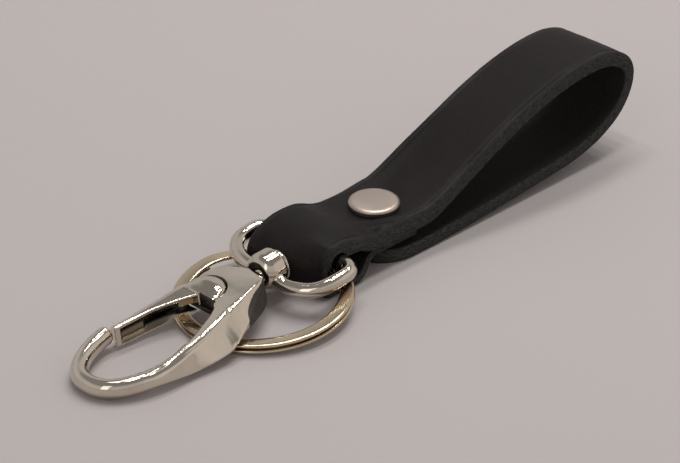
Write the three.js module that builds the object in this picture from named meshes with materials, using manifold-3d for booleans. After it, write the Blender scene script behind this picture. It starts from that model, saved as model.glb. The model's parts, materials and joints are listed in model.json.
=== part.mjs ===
// Leather key fob: a folded strap with a cap rivet, a swivel snap hook on a bail, and a split ring.
// Millimetres. The strap runs along X with the hook at -X, width along Y, +Z up, floor at z = 0.
// The rivet's axis is the Z axis.
import * as THREE from 'three';
import { mergeVertices } from 'three/addons/utils/BufferGeometryUtils.js';
import Module from 'manifold-3d';

const wasm = await Module();
wasm.setup();

// Driving dimensions: strap
const STRAP_WIDTH = 19;
const LEATHER = 3.5;            // full thickness
const SKIVED = 2.2;             // thinned leather round the fold and on the return
const LAYER_GAP = 0.25;         // air between stacked layers
const LOOP_REAR = 74.6;         // outermost point of the loop behind the rivet
const LOOP_TOP = 27.7;          // highest point of the loop
const LOOP_TOP_X = 61;          // where that point lies
const LOOP_REAR_Z = 19;         // height of the outermost point
const LOOP_FLOOR_X = 50;        // where the lower layer starts to curl up
const LOOP_FLOOR_LIFT = 2;      // the lower layer's height there
const FLAT_RUN = 6.5;           // half length of the flat stack under the rivet
const BOTTOM_END = -7.3;        // tip of the lower layer's rounded end
const RETURN_END = 4.8;         // cut end of the folded return
const LOW_FLAT_REAR = 9;        // where the lower layer leaves the floor
const TOP_SLOPE = 24;           // length of the top layer's bend from the loop
const BEND_PULL = 14;           // length of the lower layer's bends
const LOW_SLOPE = 0.9;          // rise of the lower layer where it starts to curl up
const REAR_PULL = 8;            // pulls of the loop's rear curve, below and above the outermost point
const REAR_PUSH = 4.2;
const HIGH_PULL = 6;            // pulls at both ends of the top layer's bend
const STEP_PULL = 5;            // pull of the step from the stack to the fold
const FOLD_SHIFT = 0.8;         // the fold's crown lies this far behind the bar
const FOLD_PULL = 4;            // pulls of the fold's three curves
const FOLD_DROP = 3;
const FOLD_UNDER = 4.8;
const FOLD_TUCK = 4.4;
const FOLD_CHIN = 0.6;          // the fold's foremost point above half its height
const FOLD_FLOOR = 5.8;         // from the fold's front to its floor
const JOIN_SHIFT = 0.4;         // the return meets the lower layer this far behind its end

// Driving dimensions: rivet
const CAP_DIAMETER = 11;
const CAP_HEIGHT = 1.35;
const CAP_WALL = 0.45;
const BOTTOM_CAP_DIAMETER = 10;
const BOTTOM_CAP_HEIGHT = 1.1;
const SOCKET_DIAMETER = 3.6;
const POST_DIAMETER = 1.9;
const FLANGE_DIAMETER = 7.4;
const FLANGE_HEIGHT = 0.4;
const CAP_ROLL = 0.3;           // rolled rim of the upper cap
const CAP_SHOULDER = 0.7;       // width of its shoulder
const CAP_CROWN = 0.08;         // drop of its top from the middle
const BOTTOM_CHAMFER = 0.5;

// Driving dimensions: bail and swivel
const BAR_X = -19.6;            // bar axis inside the fold
const BAR_Y = 0.1;              // the bail has slid this far along the fold
const WIRE = 3.4;               // diameter of the bail's wire
const BAIL_HALF_WIDTH = 13.6;   // to the wire's centre
const BAIL_DEPTH = 12.4;        // bar axis to the bow's wire
const BOSS_DEPTH = 12;          // bar axis to the boss centre
const BAIL_CORNER = 2.8;        // centre radius of the two rear corners
const BAIL_LEG = 1.8;           // straight length of each side
const BAIL_PITCH = 5;           // degrees, the bail slopes down to its boss
const BAIL_YAW = 2.2;           // degrees, the hook turns to the near side
const BOSS_DIAMETER = 6.7;
const BOSS_LENGTH = 4.4;
const BOSS_ROUND = 0.5;
const BOSS_FLARE = 0.6;         // straight wire on each side of the boss
const STUD_DIAMETER = 3;
const STUD_HEAD_DIAMETER = 5.4;
const STUD_HEAD_LENGTH = 1.7;
const STUD_SEAT = 3.8;          // depth of the stud in the hook
const SWIVEL_PLAY = 0.4;        // end play of the swivel on each side of the boss
const HEAD_AIR = 0.35;          // between the stud's head and the fold's front

// Driving dimensions: hook, measured forward from the boss centre
const HOOK_TIP = 49.2;          // centre of the nose tube at the tip
const OVAL_REAR = 4.8;          // rear end of the oval that the nose follows
const HOOK_HALF_WIDTH = 10;     // half width of that oval
const HOOK_OFFSET = 0.6;        // the oval's middle to the gate side
const OVAL_SQUARENESS = 2.35;   // 2 is an ellipse, more is squarer
const NOSE_WIDE = 1.85;         // half width of the nose tube
const NOSE_TALL = 2.1;          // half height of the nose tube
const NOSE_START = 42;          // the arm is a round tube from here on
const NOSE_END = -82;           // degrees round the oval, past the gate's end
const ARM_ROUNDS = 30;          // the arm starts to round off here
const BODY_FRONT = 18.2;        // rear end of the opening
const BODY_BOTTOM = 1.9;
const BODY_EDGE = 0.35;         // corner radius of the body and the arm
const BODY_RIM = 1.1;           // bevel of the body's far rim
const BODY_CROWN = 0.25;        // rise of the body's top between its rim and its ridge
const FRONT_SLOPE = 1.2;        // length of the opening's rear wall

// Lines of the hook as [forward, across, up], with the near side negative. The ridge runs over the body
// and down the arm, the side is the edge below it, and the foot is the underside's near edge.
// The rim is on the gate's side, and the inner line runs along the opening.
const RIDGE = [
  [2.6, -3.4, 1.3], [3.4, -4.1, 2.1], [4.4, -4.6, 2.6], [6.5, -5.2, 2.9], [9.4, -5.9, 3.05],
  [12.5, -6.8, 3.1], [17.6, -7.6, 3.1], [20.9, -8.1, 3.05], [23.9, -8.4, 2.95], [27, -8.7, 2.8],
  [31, -9, 2.55], [36, -8.9, 2.25], [42, -7.6, 2],
];
const SIDE = [
  [2.6, -3.6, 0.6], [5.3, -4.8, 1.6], [9.5, -6.1, 1.3], [13, -7.6, 0], [15, -9.6, -0.8],
  [16.8, -11.3, -0.9], [18.5, -11.8, -0.85], [20, -12.1, -1.1], [22, -12.2, -1.8], [26.4, -11.8, -2.1],
  [30.5, -11.2, -2.1], [34.6, -10.7, -2], [38.4, -10, -1.9], [42, -9, -1.8],
];
const FOOT = [
  [2.6, -2.6, -1.4], [5, -2.8, -1.6], [9, -3.4, -1.65], [12.4, -4.6, -1.65], [15, -7.2, -1.5],
  [17, -10.2, -1.2], [18.5, -11.2, -1.15], [21, -11.8, -1.45], [22.6, -11.8, -2.1], [26.4, -11.4, -2.4],
  [30.5, -10.8, -2.4], [34.6, -10.3, -2.3], [38.4, -9.6, -2.1], [42, -8.6, -2],
];
const RIM = [
  [2.6, 2.4, 1.3], [3.6, 3.3, 2.2], [4.6, 4.2, 2.5], [6.2, 6, 2.8], [7.8, 7.3, 2.9],
  [9.9, 8.3, 2.95], [12, 8.6, 3], [14.5, 8.5, 3], [18.2, 8.2, 2.9],
];
const INNER = [
  [18.2, -2.9, 2.7], [20.5, -4.2, 2.7], [23.3, -5.2, 2.6], [27.3, -6.4, 2.4], [30.6, -6.9, 2.2],
  [35.4, -7.2, 2], [42, -6.2, 1.9],
];

// Driving dimensions: gate
const PIVOT_FORWARD = 14.9;
const PIVOT_SIDE = 2.7;
const HUB_RADIUS = 4.3;
const HUB_TOP = 2.7;
const DOME_HEIGHT = 1.5;
const DOME_FRONT = 1.9;         // pivot to the flat cut across the dome
const GATE_REACH = 21.05;       // pivot to the gate's free end
const GATE_GAP = 0.5;           // between the gate's free end and the nose
const GATE_END = -68;           // degrees round the oval where the gate's middle line ends
const GATE_WALL = 1.1;
const SLOT_HEIGHT = 1.9;        // channel along the gate's inner side
const SLOT_DROP = 1.05;         // the channel's middle below the hook's middle plane
const SLOT_START = 2.1;         // channel's rear end, forward of the pivot
const SLOT_LENGTH = 8;
const CHEEK_TOP = -0.6;         // upper face of the cheek under the hub
const CHEEK_RUN = 0.9;          // the body stands full height this far behind the pivot
const PIN_DIAMETER = 1.5;
const PIN_RISE = 0.7;           // the pin's end above the spring
const SPRING_WIRE = 0.4;
const SPRING_MEAN_RADIUS = 1.2;
const SPRING_PITCH = 0.8;
const SPRING_TURNS = 1.75;

// The gate's arm as [forward, inner side, outer side, above the middle plane, below it].
const GATE_ARM = [
  [14.4, 2.2, 8.4, 1.7, 0.3], [16.8, 2.9, 9.3, 1.75, 0.3], [19, 4.1, 9.7, 1.8, 0.3],
  [21.3, 5.2, 9.9, 1.9, 2], [23.5, 6, 10, 1.95, 2.9], [26.7, 6.8, 10.1, 2.05, 3.1],
  [31.7, 7.4, 10.2, 2.1, 3], [39.6, 8.3, 11.2, 2.1, 2.5],
];

// Driving dimensions: split ring
const RING_DIAMETER = 38;
const RING_BAND = 3;            // radial width of the flat wire
const RING_WIRE = 0.9;          // thickness of the flat wire
const RING_GAP = 0.45;          // between its two turns
const RING_Y = -2;
const RING_LIFT = 0.9;          // between the ring's rear and the fold's floor
const RING_AIR = 1.5;           // between the ring and the fold's front, at the strap's far edge
const RING_JOGGLE = 40;         // degrees over which the wire climbs one turn

// Shared clearances
const SEAT = 0.25;              // between pieces that bear on each other
const FREE = 0.3;               // between pieces that turn in each other
const BAR_AIR = 0.8;            // between the bail's bar and the ring under it
const FOLD_AIR = 0.4;           // between the bail's bar and the leather over it
const FLOOR_AIR = 0.06;         // under the ring's front and the hook's nose
const ROUND_SIDES = 40;

// Small helpers

const rad = THREE.MathUtils.degToRad;
const { lerp, smoothstep } = THREE.MathUtils;

function solidOf(geometry) {
  const bare = geometry.clone();
  bare.deleteAttribute('normal');
  bare.deleteAttribute('uv');
  const merged = mergeVertices(bare, 1e-4);
  const vertProperties = new Float32Array(merged.attributes.position.array);
  const triVerts = new Uint32Array(merged.index.array);
  return new wasm.Manifold(new wasm.Mesh({ numProp: 3, vertProperties, triVerts }));
}

function geometryOf(solid) {
  const { vertProperties, triVerts } = solid.getMesh();
  const geometry = new THREE.BufferGeometry();
  geometry.setAttribute('position', new THREE.BufferAttribute(vertProperties, 3));
  geometry.setIndex(new THREE.BufferAttribute(triVerts, 1));
  return geometry;
}

// A closed skin over rings of points. A looped skin joins its last ring to its first.
function skin(rings, looped = false) {
  const count = rings[0].length;
  const points = rings.flat();
  const triangles = [];
  const spans = looped ? rings.length : rings.length - 1;
  for (let i = 0; i < spans; i++) {
    const next = (i + 1) % rings.length;
    for (let j = 0; j < count; j++) {
      const k = (j + 1) % count;
      const [a, b] = [i * count + j, i * count + k];
      const [c, d] = [next * count + j, next * count + k];
      triangles.push(a, d, b, a, c, d);
    }
  }
  if (!looped) {
    for (const [ring, start, flip] of [[rings[0], 0, false], [rings.at(-1), points.length - count, true]]) {
      const middle = ring.reduce((sum, p) => sum.add(p), new THREE.Vector3()).divideScalar(count);
      const hub = points.push(middle) - 1;
      for (let j = 0; j < count; j++) {
        const [a, b] = [start + j, start + (j + 1) % count];
        triangles.push(hub, flip ? b : a, flip ? a : b);
      }
    }
  }
  const geometry = new THREE.BufferGeometry().setFromPoints(points);
  geometry.setIndex(triangles);
  return geometry;
}

// A rounded section: half width, rise above and drop below the middle, and how full each half is.
// A fullness of 2 is an ellipse, less makes a ridge on top, more makes a box.
function section({ width, top, bottom, topFull = 2, bottomFull = 2 }, sides) {
  return Array.from({ length: sides }, (_, i) => {
    const angle = (2 * Math.PI * i) / sides;
    const across = Math.cos(angle);
    const [rise, full] = Math.sin(angle) >= 0 ? [top, topFull] : [-bottom, bottomFull];
    return [width * across, rise * Math.sqrt(Math.max(0, 1 - Math.abs(across) ** full))];
  });
}

// A convex outline: straight between its corners and round about each.
function rounded(corners, radius, sides) {
  return Array.from({ length: sides }, (_, i) => {
    const way = new THREE.Vector2(Math.cos((2 * Math.PI * i) / sides), Math.sin((2 * Math.PI * i) / sides));
    const reach = ([a, h]) => a * way.x + h * way.y;
    const [a, h] = corners.reduce((best, corner) => (reach(corner) > reach(best) ? corner : best));
    return [a + radius * way.x, h + radius * way.y];
  });
}

// Values of a line of [forward, ...values] rows at a distance forward, joined by smooth curves.
function along(rows, forward) {
  const at = THREE.MathUtils.clamp(forward, rows[0][0], rows.at(-1)[0]);
  const i = Math.max(0, rows.findLastIndex((row, k) => k < rows.length - 1 && row[0] <= at));
  const before = rows[Math.max(i - 1, 0)];
  const [a, b] = [rows[i], rows[i + 1]];
  const after = rows[Math.min(i + 2, rows.length - 1)];
  const span = b[0] - a[0];
  const t = (at - a[0]) / span;
  return a.slice(1).map((value, k) => {
    const start = (span * (b[k + 1] - before[k + 1])) / (b[0] - before[0]);
    const stop = (span * (after[k + 1] - value)) / (after[0] - a[0]);
    return value * (2 * t ** 3 - 3 * t ** 2 + 1) + start * (t ** 3 - 2 * t ** 2 + t)
      + b[k + 1] * (3 * t ** 2 - 2 * t ** 3) + stop * (t ** 3 - t ** 2);
  });
}

function cylinder(radius, low, high, sides = ROUND_SIDES) {
  const geometry = new THREE.CylinderGeometry(radius, radius, high - low, sides);
  return geometry.rotateX(Math.PI / 2).translate(0, 0, (low + high) / 2);
}

// A turned piece about Z, from a list of [radius, height] corners.
function turned(corners, sides = ROUND_SIDES) {
  const profile = corners.map(([r, z]) => new THREE.Vector2(r, z));
  return new THREE.LatheGeometry(profile, sides).rotateX(Math.PI / 2);
}

// Corners of a dome, from its rim to its crest.
function quarterRound(radius, low, height, steps = 4) {
  const turns = Array.from({ length: steps }, (_, i) => (i / steps) * (Math.PI / 2));
  const rim = turns.map((angle) => [radius * Math.cos(angle), low + height * Math.sin(angle)]);
  return [...rim, [0, low + height]];
}

function block(x0, x1, y0, y1, z0, z1) {
  return new THREE.BoxGeometry(x1 - x0, y1 - y0, z1 - z0)
    .translate((x0 + x1) / 2, (y0 + y1) / 2, (z0 + z1) / 2);
}

// Least distance between points on different turns of a winding.
function leastGap(rings, ringsPerTurn) {
  let least = Infinity;
  for (let i = 0; i < rings.length; i++) {
    for (let j = i + Math.ceil(ringsPerTurn / 2); j < rings.length; j++) {
      for (const p of rings[i]) {
        for (const q of rings[j]) {
          least = Math.min(least, p.distanceTo(q));
        }
      }
    }
  }
  return least;
}

// Heights in the stack of layers under the rivet

const RETURN_LOW = LEATHER + LAYER_GAP;
const TOP_LOW = RETURN_LOW + SKIVED + LAYER_GAP;
const STACK_TOP = TOP_LOW + LEATHER;
const HOLE_RADIUS = SOCKET_DIAMETER / 2 + FREE;

// The ring lies in the fold, the bar lies on the ring and the leather goes over the bar.
const RING_HEIGHT = 2 * RING_WIRE + RING_GAP;
const RING_RADIUS = (RING_DIAMETER - RING_BAND) / 2;
const RING_REAR_Z = SKIVED + RING_HEIGHT / 2 + RING_LIFT;
const RING_TILT = Math.asin((RING_REAR_Z - RING_HEIGHT / 2 - FLOOR_AIR) / (2 * RING_RADIUS));
const BAR_Z = RING_REAR_Z + RING_HEIGHT / 2 + BAR_AIR + WIRE / 2;
const FOLD_TOP = BAR_Z + WIRE / 2 + FOLD_AIR;

// The fold's front stops short of the swivel stud's head, and the ring stays behind that front.
const STUD_END = BOSS_LENGTH / 2 + SWIVEL_PLAY + STUD_HEAD_LENGTH;
const FOLD_FRONT = BAR_X - BOSS_DEPTH + STUD_END + HEAD_AIR;
const RING_INSIDE = RING_RADIUS - RING_BAND / 2;
const RING_BOW = RING_INSIDE - Math.sqrt(RING_INSIDE ** 2 - (STRAP_WIDTH / 2 - RING_Y) ** 2);
const RING_REAR_X = FOLD_FRONT + SKIVED + RING_AIR + RING_BOW + RING_BAND / 2;

// Leather strap: one ribbon drawn from the lower layer's end, round the loop, over the rivet,
// round the front fold and back between the layers.

function strapRun() {
  const v = (x, z) => new THREE.Vector2(x, z);
  const line = (a, b) => new THREE.LineCurve(a, b);
  const bend = (a, u, w, b) => new THREE.CubicBezierCurve(a, a.clone().add(u), b.clone().add(w), b);
  const half = LEATHER / 2;
  const thin = SKIVED / 2;
  const crown = (LEATHER + SKIVED) / 4;
  const start = v(BOTTOM_END, half);
  const lowFlat = v(LOW_FLAT_REAR, half);
  const lowRear = v(LOOP_FLOOR_X, half + LOOP_FLOOR_LIFT);
  const rear = v(LOOP_REAR - half, LOOP_REAR_Z);
  const high = v(LOOP_TOP_X, LOOP_TOP - half);
  const topRear = v(FLAT_RUN, TOP_LOW + half);
  const topFront = v(-FLAT_RUN, TOP_LOW + half);
  const overBar = v(BAR_X + FOLD_SHIFT, FOLD_TOP + crown);
  const front = v(FOLD_FRONT + thin, (FOLD_TOP + crown) / 2 + FOLD_CHIN);
  const foldFloor = v(FOLD_FRONT + FOLD_FLOOR, thin);
  const liftOff = v(RING_REAR_X + RING_BAND / 2 - FREE, thin);
  const joined = v(BOTTOM_END + JOIN_SHIFT, RETURN_LOW + thin);
  const end = v(RETURN_END, RETURN_LOW + thin);
  const rise = liftOff.distanceTo(joined) / 2;
  const runs = [
    [line(start, lowFlat), 1, LEATHER, LEATHER],
    [bend(lowFlat, v(BEND_PULL, 0), v(-BEND_PULL, -LOW_SLOPE), lowRear), 12, LEATHER, LEATHER],
    [bend(lowRear, v(BEND_PULL, LOW_SLOPE), v(0, -REAR_PULL), rear), 20, LEATHER, LEATHER],
    [bend(rear, v(0, REAR_PUSH), v(HIGH_PULL, 0), high), 16, LEATHER, LEATHER],
    [bend(high, v(-TOP_SLOPE, 0), v(HIGH_PULL, 0), topRear), 24, LEATHER, LEATHER],
    [line(topRear, topFront), 1, LEATHER, LEATHER],
    [bend(topFront, v(-STEP_PULL, 0), v(STEP_PULL, 0), overBar), 12, LEATHER, 2 * crown],
    [bend(overBar, v(-FOLD_PULL, 0), v(0, FOLD_DROP), front), 12, 2 * crown, SKIVED],
    [bend(front, v(0, -FOLD_UNDER), v(-FOLD_TUCK, 0), foldFloor), 12, SKIVED, SKIVED],
    [line(foldFloor, liftOff), 1, SKIVED, SKIVED],
    [bend(liftOff, v(rise, 0), v(-rise, 0), joined), 12, SKIVED, SKIVED],
    [line(joined, end), 1, SKIVED, SKIVED],
  ];
  return runs.flatMap(([curve, steps, from, to], index) => {
    const samples = [];
    for (let i = index === 0 ? 0 : 1; i <= steps; i++) {
      const t = i / steps;
      samples.push({ at: curve.getPoint(t), along: curve.getTangent(t), thick: lerp(from, to, t) });
    }
    return samples;
  });
}

function leatherStrap() {
  const side = (sign) => ({ at, along, thick }) =>
    new THREE.Vector2(at.x - (sign * along.y * thick) / 2, at.y + (sign * along.x * thick) / 2);
  const run = strapRun();
  const outline = [...run.map(side(-1)), ...run.map(side(1)).reverse()];
  const shape = new THREE.Shape(outline);
  const ribbon = new THREE.ExtrudeGeometry(shape, { depth: STRAP_WIDTH, bevelEnabled: false });
  ribbon.rotateX(Math.PI / 2).translate(0, STRAP_WIDTH / 2, 0);
  const hole = cylinder(HOLE_RADIUS, -1, STACK_TOP + 1);
  const recess = cylinder(BOTTOM_CAP_DIAMETER / 2 + FREE, -1, BOTTOM_CAP_HEIGHT + SEAT);
  const roundEnd = cylinder(STRAP_WIDTH / 2, -2, LEATHER).translate(BOTTOM_END + STRAP_WIDTH / 2, 0, 0);
  const squareEnd = block(
    BOTTOM_END - LAYER_GAP, BOTTOM_END + STRAP_WIDTH / 2, -STRAP_WIDTH, STRAP_WIDTH,
    -1, LEATHER + LAYER_GAP / 2);
  const corners = solidOf(squareEnd).subtract(solidOf(roundEnd));
  return geometryOf([corners, solidOf(hole), solidOf(recess)]
    .reduce((strap, cut) => strap.subtract(cut), solidOf(ribbon)));
}

// Rivet: a cap with a socket pressed on a cap with a post.

const CAP_LOW = STACK_TOP + SEAT;
const FLANGE_LOW = CAP_LOW + FREE;
const POST_FLANGE_LOW = CAP_WALL + SEAT;

function rivetTopCap() {
  const r = CAP_DIAMETER / 2;
  const inner = FLANGE_DIAMETER / 2 + SEAT;
  const inside = FLANGE_LOW + FLANGE_HEIGHT + SEAT;
  const crest = CAP_LOW + CAP_HEIGHT;
  return turned([
    [0, inside], [inner, inside], [inner, CAP_LOW], [r - CAP_ROLL, CAP_LOW], [r, CAP_LOW + CAP_ROLL],
    [r - CAP_ROLL / 2, CAP_LOW + 2 * CAP_ROLL], [r - CAP_SHOULDER, crest - CAP_ROLL],
    [r / 2, crest - CAP_CROWN], [0, crest],
  ]);
}

function rivetSocket() {
  const r = SOCKET_DIAMETER / 2;
  const bore = POST_DIAMETER / 2 + SEAT;
  const flange = FLANGE_DIAMETER / 2;
  const low = POST_FLANGE_LOW + FLANGE_HEIGHT + FREE;
  const top = FLANGE_LOW + FLANGE_HEIGHT;
  return turned([
    [bore, low], [r, low], [r, FLANGE_LOW], [flange, FLANGE_LOW], [flange, top], [bore, top], [bore, low],
  ]);
}

function rivetPost() {
  const r = POST_DIAMETER / 2;
  const flange = FLANGE_DIAMETER / 2;
  const shoulder = POST_FLANGE_LOW + FLANGE_HEIGHT;
  const tip = FLANGE_LOW;
  return turned([
    [0, POST_FLANGE_LOW], [flange, POST_FLANGE_LOW], [flange, shoulder], [r, shoulder],
    [r, tip - r], [r / 2, tip - r / 4], [0, tip],
  ]);
}

function rivetBottomCap() {
  const r = BOTTOM_CAP_DIAMETER / 2;
  const inner = FLANGE_DIAMETER / 2 + SEAT;
  return turned([
    [0, 0], [r - BOTTOM_CHAMFER, 0], [r, BOTTOM_CHAMFER], [r, BOTTOM_CAP_HEIGHT], [inner, BOTTOM_CAP_HEIGHT],
    [inner, CAP_WALL], [0, CAP_WALL],
  ]);
}

// The hook leans in the swivel until its nose lies on the floor.
const BOSS_Z = BAR_Z - BOSS_DEPTH * Math.sin(rad(BAIL_PITCH));
const HOOK_LEAN = Math.asin((BOSS_Z - NOSE_TALL - FLOOR_AIR) / HOOK_TIP) - rad(BAIL_PITCH);

// Bail: a D of round wire with the swivel boss in the middle of its bow. Its bar lies on local Y.

function bailPath() {
  const c = BAIL_CORNER;
  const wide = BAIL_HALF_WIDTH;
  const level = BOSS_DIAMETER / 2 + BOSS_FLARE;
  const bow = c + BAIL_LEG;
  const path = new THREE.Path();
  path.moveTo(0, c - wide);
  path.lineTo(0, wide - c);
  path.absarc(-c, wide - c, c, 0, Math.PI / 2);
  path.lineTo(-bow, wide);
  path.absellipse(-bow, level, BAIL_DEPTH - bow, wide - level, Math.PI / 2, Math.PI);
  path.lineTo(-BAIL_DEPTH, -level);
  path.absellipse(-bow, -level, BAIL_DEPTH - bow, wide - level, Math.PI, 1.5 * Math.PI);
  path.lineTo(-c, -wide);
  path.absarc(-c, c - wide, c, 1.5 * Math.PI, 2 * Math.PI);
  return path;
}

function swivelBail() {
  const path = bailPath();
  const steps = 72;
  const rings = Array.from({ length: steps }, (_, i) => {
    const at = path.getPointAt(i / steps);
    const along = path.getTangentAt(i / steps);
    return section({ width: WIRE / 2, top: WIRE / 2, bottom: WIRE / 2 }, 14)
      .map(([a, h]) => new THREE.Vector3(at.x + a * along.y, at.y - a * along.x, h));
  });
  const half = BOSS_LENGTH / 2;
  const r = BOSS_DIAMETER / 2;
  const boss = turned([
    [0, -half], [r - BOSS_ROUND, -half], [r, BOSS_ROUND - half],
    [r, half - BOSS_ROUND], [r - BOSS_ROUND, half], [0, half],
  ], 28);
  const lean = half * Math.tan(HOOK_LEAN);
  const bore = cylinder(STUD_DIAMETER / 2 + FREE + lean, -half - 1, half + 1, 28);
  for (const piece of [boss, bore]) {
    piece.rotateY(Math.PI / 2).translate(-BOSS_DEPTH, 0, 0);
  }
  return geometryOf(solidOf(skin(rings, true)).add(solidOf(boss)).subtract(solidOf(bore)));
}

// Swivel stud along local X, with its head behind the boss.

const BODY_REAR = BOSS_LENGTH / 2 + SWIVEL_PLAY;

function swivelStud() {
  const r = STUD_DIAMETER / 2;
  const head = STUD_HEAD_DIAMETER / 2;
  const under = BOSS_LENGTH / 2 + SWIVEL_PLAY;
  const dome = quarterRound(head, under + STUD_HEAD_LENGTH / 3, (2 * STUD_HEAD_LENGTH) / 3);
  const foot = -BODY_REAR - STUD_SEAT + SEAT;
  return turned([[0, foot], [r, foot], [r, under], [head, under], ...dome], 28).rotateY(Math.PI / 2);
}

// Hook body: a broad body behind the opening, and an arm with a ridge that thins into the round nose.

const HOOK_OVAL = (HOOK_TIP - OVAL_REAR) / 2;
const OVAL_MIDDLE = HOOK_TIP - HOOK_OVAL;

// Turning a full circle, 0 is the tip, positive angles go down the arm, negative to the gate.
function ovalPoint(angle) {
  const squared = (value) => Math.sign(value) * Math.abs(value) ** (2 / OVAL_SQUARENESS);
  const a = rad(angle);
  return new THREE.Vector2(
    -OVAL_MIDDLE - HOOK_OVAL * squared(Math.cos(a)), HOOK_OFFSET - HOOK_HALF_WIDTH * squared(Math.sin(a)));
}

// Degrees round the oval, on its near side, at a distance forward.
function ovalAngle(forward) {
  return THREE.MathUtils.radToDeg(Math.acos(((forward - OVAL_MIDDLE) / HOOK_OVAL) ** (OVAL_SQUARENESS / 2)));
}

function bodyRing(forward, sides) {
  const [ridge, crest] = along(RIDGE, forward);
  const [foot, low] = along(FOOT, forward);
  const opened = smoothstep(forward, BODY_FRONT - FRONT_SLOPE, BODY_FRONT);
  const [far, top] = along(RIM, forward).map((value, k) => lerp(value, along(INNER, forward)[k], opened));
  const bevel = BODY_RIM * (1 - opened);
  const e = BODY_EDGE;
  const [side, level] = along(SIDE, forward);
  const corners = [
    [far - e, top - e - bevel], [far - e - bevel, top - e],
    [(far + ridge) / 2, (top + crest) / 2 - e + BODY_CROWN],
    [ridge + e, crest - e], [side + e, level], [foot + e, low + e],
    [far - e - bevel, low + e], [far - e, low + e + bevel / 2],
  ];
  const round = smoothstep(forward, ARM_ROUNDS, NOSE_START);
  const nose = forward > ARM_ROUNDS ? ovalPoint(ovalAngle(Math.max(forward, OVAL_MIDDLE))).y : 0;
  const eased = corners.map(([a, h]) => [lerp(a, nose, round), lerp(h, 0, round)]);
  return rounded(eased, lerp(e, (NOSE_WIDE + NOSE_TALL) / 2, round), sides)
    .map(([a, h]) => new THREE.Vector3(-forward, a, h));
}

function noseRing(angle, sides) {
  const at = ovalPoint(angle);
  const way = ovalPoint(angle - 0.5).sub(ovalPoint(angle + 0.5)).normalize();
  return section({ width: NOSE_WIDE, top: NOSE_TALL, bottom: NOSE_TALL }, sides)
    .map(([a, h]) => new THREE.Vector3(at.x + a * way.y, at.y - a * way.x, h));
}

function bodyAndNose() {
  const sides = 24;
  const steps = 40;
  const start = ovalAngle(NOSE_START);
  const rings = [];
  for (let i = 0; i < steps; i++) {
    rings.push(bodyRing(lerp(BODY_REAR, NOSE_START, i / steps), sides));
  }
  for (let i = 0; i <= steps; i++) {
    rings.push(noseRing(lerp(start, NOSE_END, i / steps), sides));
  }
  return skin(rings);
}

function pivotAt(geometry) {
  return geometry.translate(-PIVOT_FORWARD, PIVOT_SIDE, 0);
}

// A box from a distance along the line from the pivot to the gate's free end, and beyond it.
function beyondGate(distance) {
  const end = ovalPoint(GATE_END);
  const heading = Math.atan2(end.y - PIVOT_SIDE, end.x + PIVOT_FORWARD);
  const reach = 2 * HOOK_TIP;
  return pivotAt(block(distance, distance + reach, -reach, reach, -reach, reach).rotateZ(heading));
}

function hookBody() {
  const beyond = 2 * HOOK_TIP;
  const gateSide = block(-beyond, -BODY_FRONT - FREE, PIVOT_SIDE, beyond, -beyond, beyond);
  const opening = solidOf(gateSide).subtract(solidOf(beyondGate(GATE_REACH + GATE_GAP)));
  const pocket = pivotAt(cylinder(HUB_RADIUS + FREE, CHEEK_TOP, beyond));
  const swing = block(-BODY_FRONT - FREE, CHEEK_RUN - PIVOT_FORWARD, PIVOT_SIDE, beyond, CHEEK_TOP, beyond);
  const pinHole = pivotAt(cylinder(PIN_DIAMETER / 2 + SEAT, -beyond, beyond, 24));
  const studHole = cylinder(STUD_DIAMETER / 2 + SEAT, -BODY_REAR - STUD_SEAT, 0, 28).rotateY(Math.PI / 2);
  return geometryOf([pocket, swing, pinHole, studHole]
    .reduce((body, cut) => body.subtract(solidOf(cut)), solidOf(bodyAndNose()).subtract(opening)));
}

// Gate: an arm with a channel on its inner side, on a hub under a flat-fronted dome.

const HUB_LOW = CHEEK_TOP + FREE;
const SPRING_POCKET = SPRING_MEAN_RADIUS + SPRING_WIRE / 2 + SEAT;
const SPRING_LOW = CHEEK_TOP + FREE + SPRING_WIRE / 2;
const SPRING_TOP = SPRING_LOW + SPRING_TURNS * SPRING_PITCH + SPRING_WIRE / 2;
const PIN_TOP = SPRING_TOP + PIN_RISE;

function gateArm() {
  const rings = GATE_ARM.map(([forward, inner, outer, top, bottom]) =>
    section({ width: (outer - inner) / 2, top, bottom, topFull: 4, bottomFull: 8 }, 22)
      .map(([a, h]) => new THREE.Vector3(-forward, a + (inner + outer) / 2, h)));
  const slotOuter = along(GATE_ARM, PIVOT_FORWARD + SLOT_START)[1] - GATE_WALL;
  const slot = block(
    -PIVOT_FORWARD - SLOT_START - SLOT_LENGTH, -PIVOT_FORWARD - SLOT_START,
    0, slotOuter, -SLOT_HEIGHT / 2 - SLOT_DROP, SLOT_HEIGHT / 2 - SLOT_DROP);
  return solidOf(skin(rings)).subtract(solidOf(slot)).subtract(solidOf(beyondGate(GATE_REACH)));
}

function gateLever() {
  const beyond = 4 * HUB_RADIUS;
  const dome = quarterRound(HUB_RADIUS, HUB_TOP, DOME_HEIGHT);
  const hub = pivotAt(turned([[0, HUB_LOW], [HUB_RADIUS, HUB_LOW], ...dome]));
  const front = pivotAt(block(-beyond, -DOME_FRONT, -beyond, beyond, -beyond, beyond));
  const springRoom = pivotAt(cylinder(SPRING_POCKET, -beyond, SPRING_TOP + SEAT, 28));
  const pinHole = pivotAt(cylinder(PIN_DIAMETER / 2 + SEAT, -beyond, PIN_TOP + SEAT, 24));
  const lever = gateArm().add(solidOf(hub).subtract(solidOf(front)));
  return geometryOf(lever.subtract(solidOf(springRoom)).subtract(solidOf(pinHole)));
}

function gatePivotPin() {
  return pivotAt(cylinder(PIN_DIAMETER / 2, -BODY_BOTTOM + SEAT, PIN_TOP, 24));
}

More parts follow.
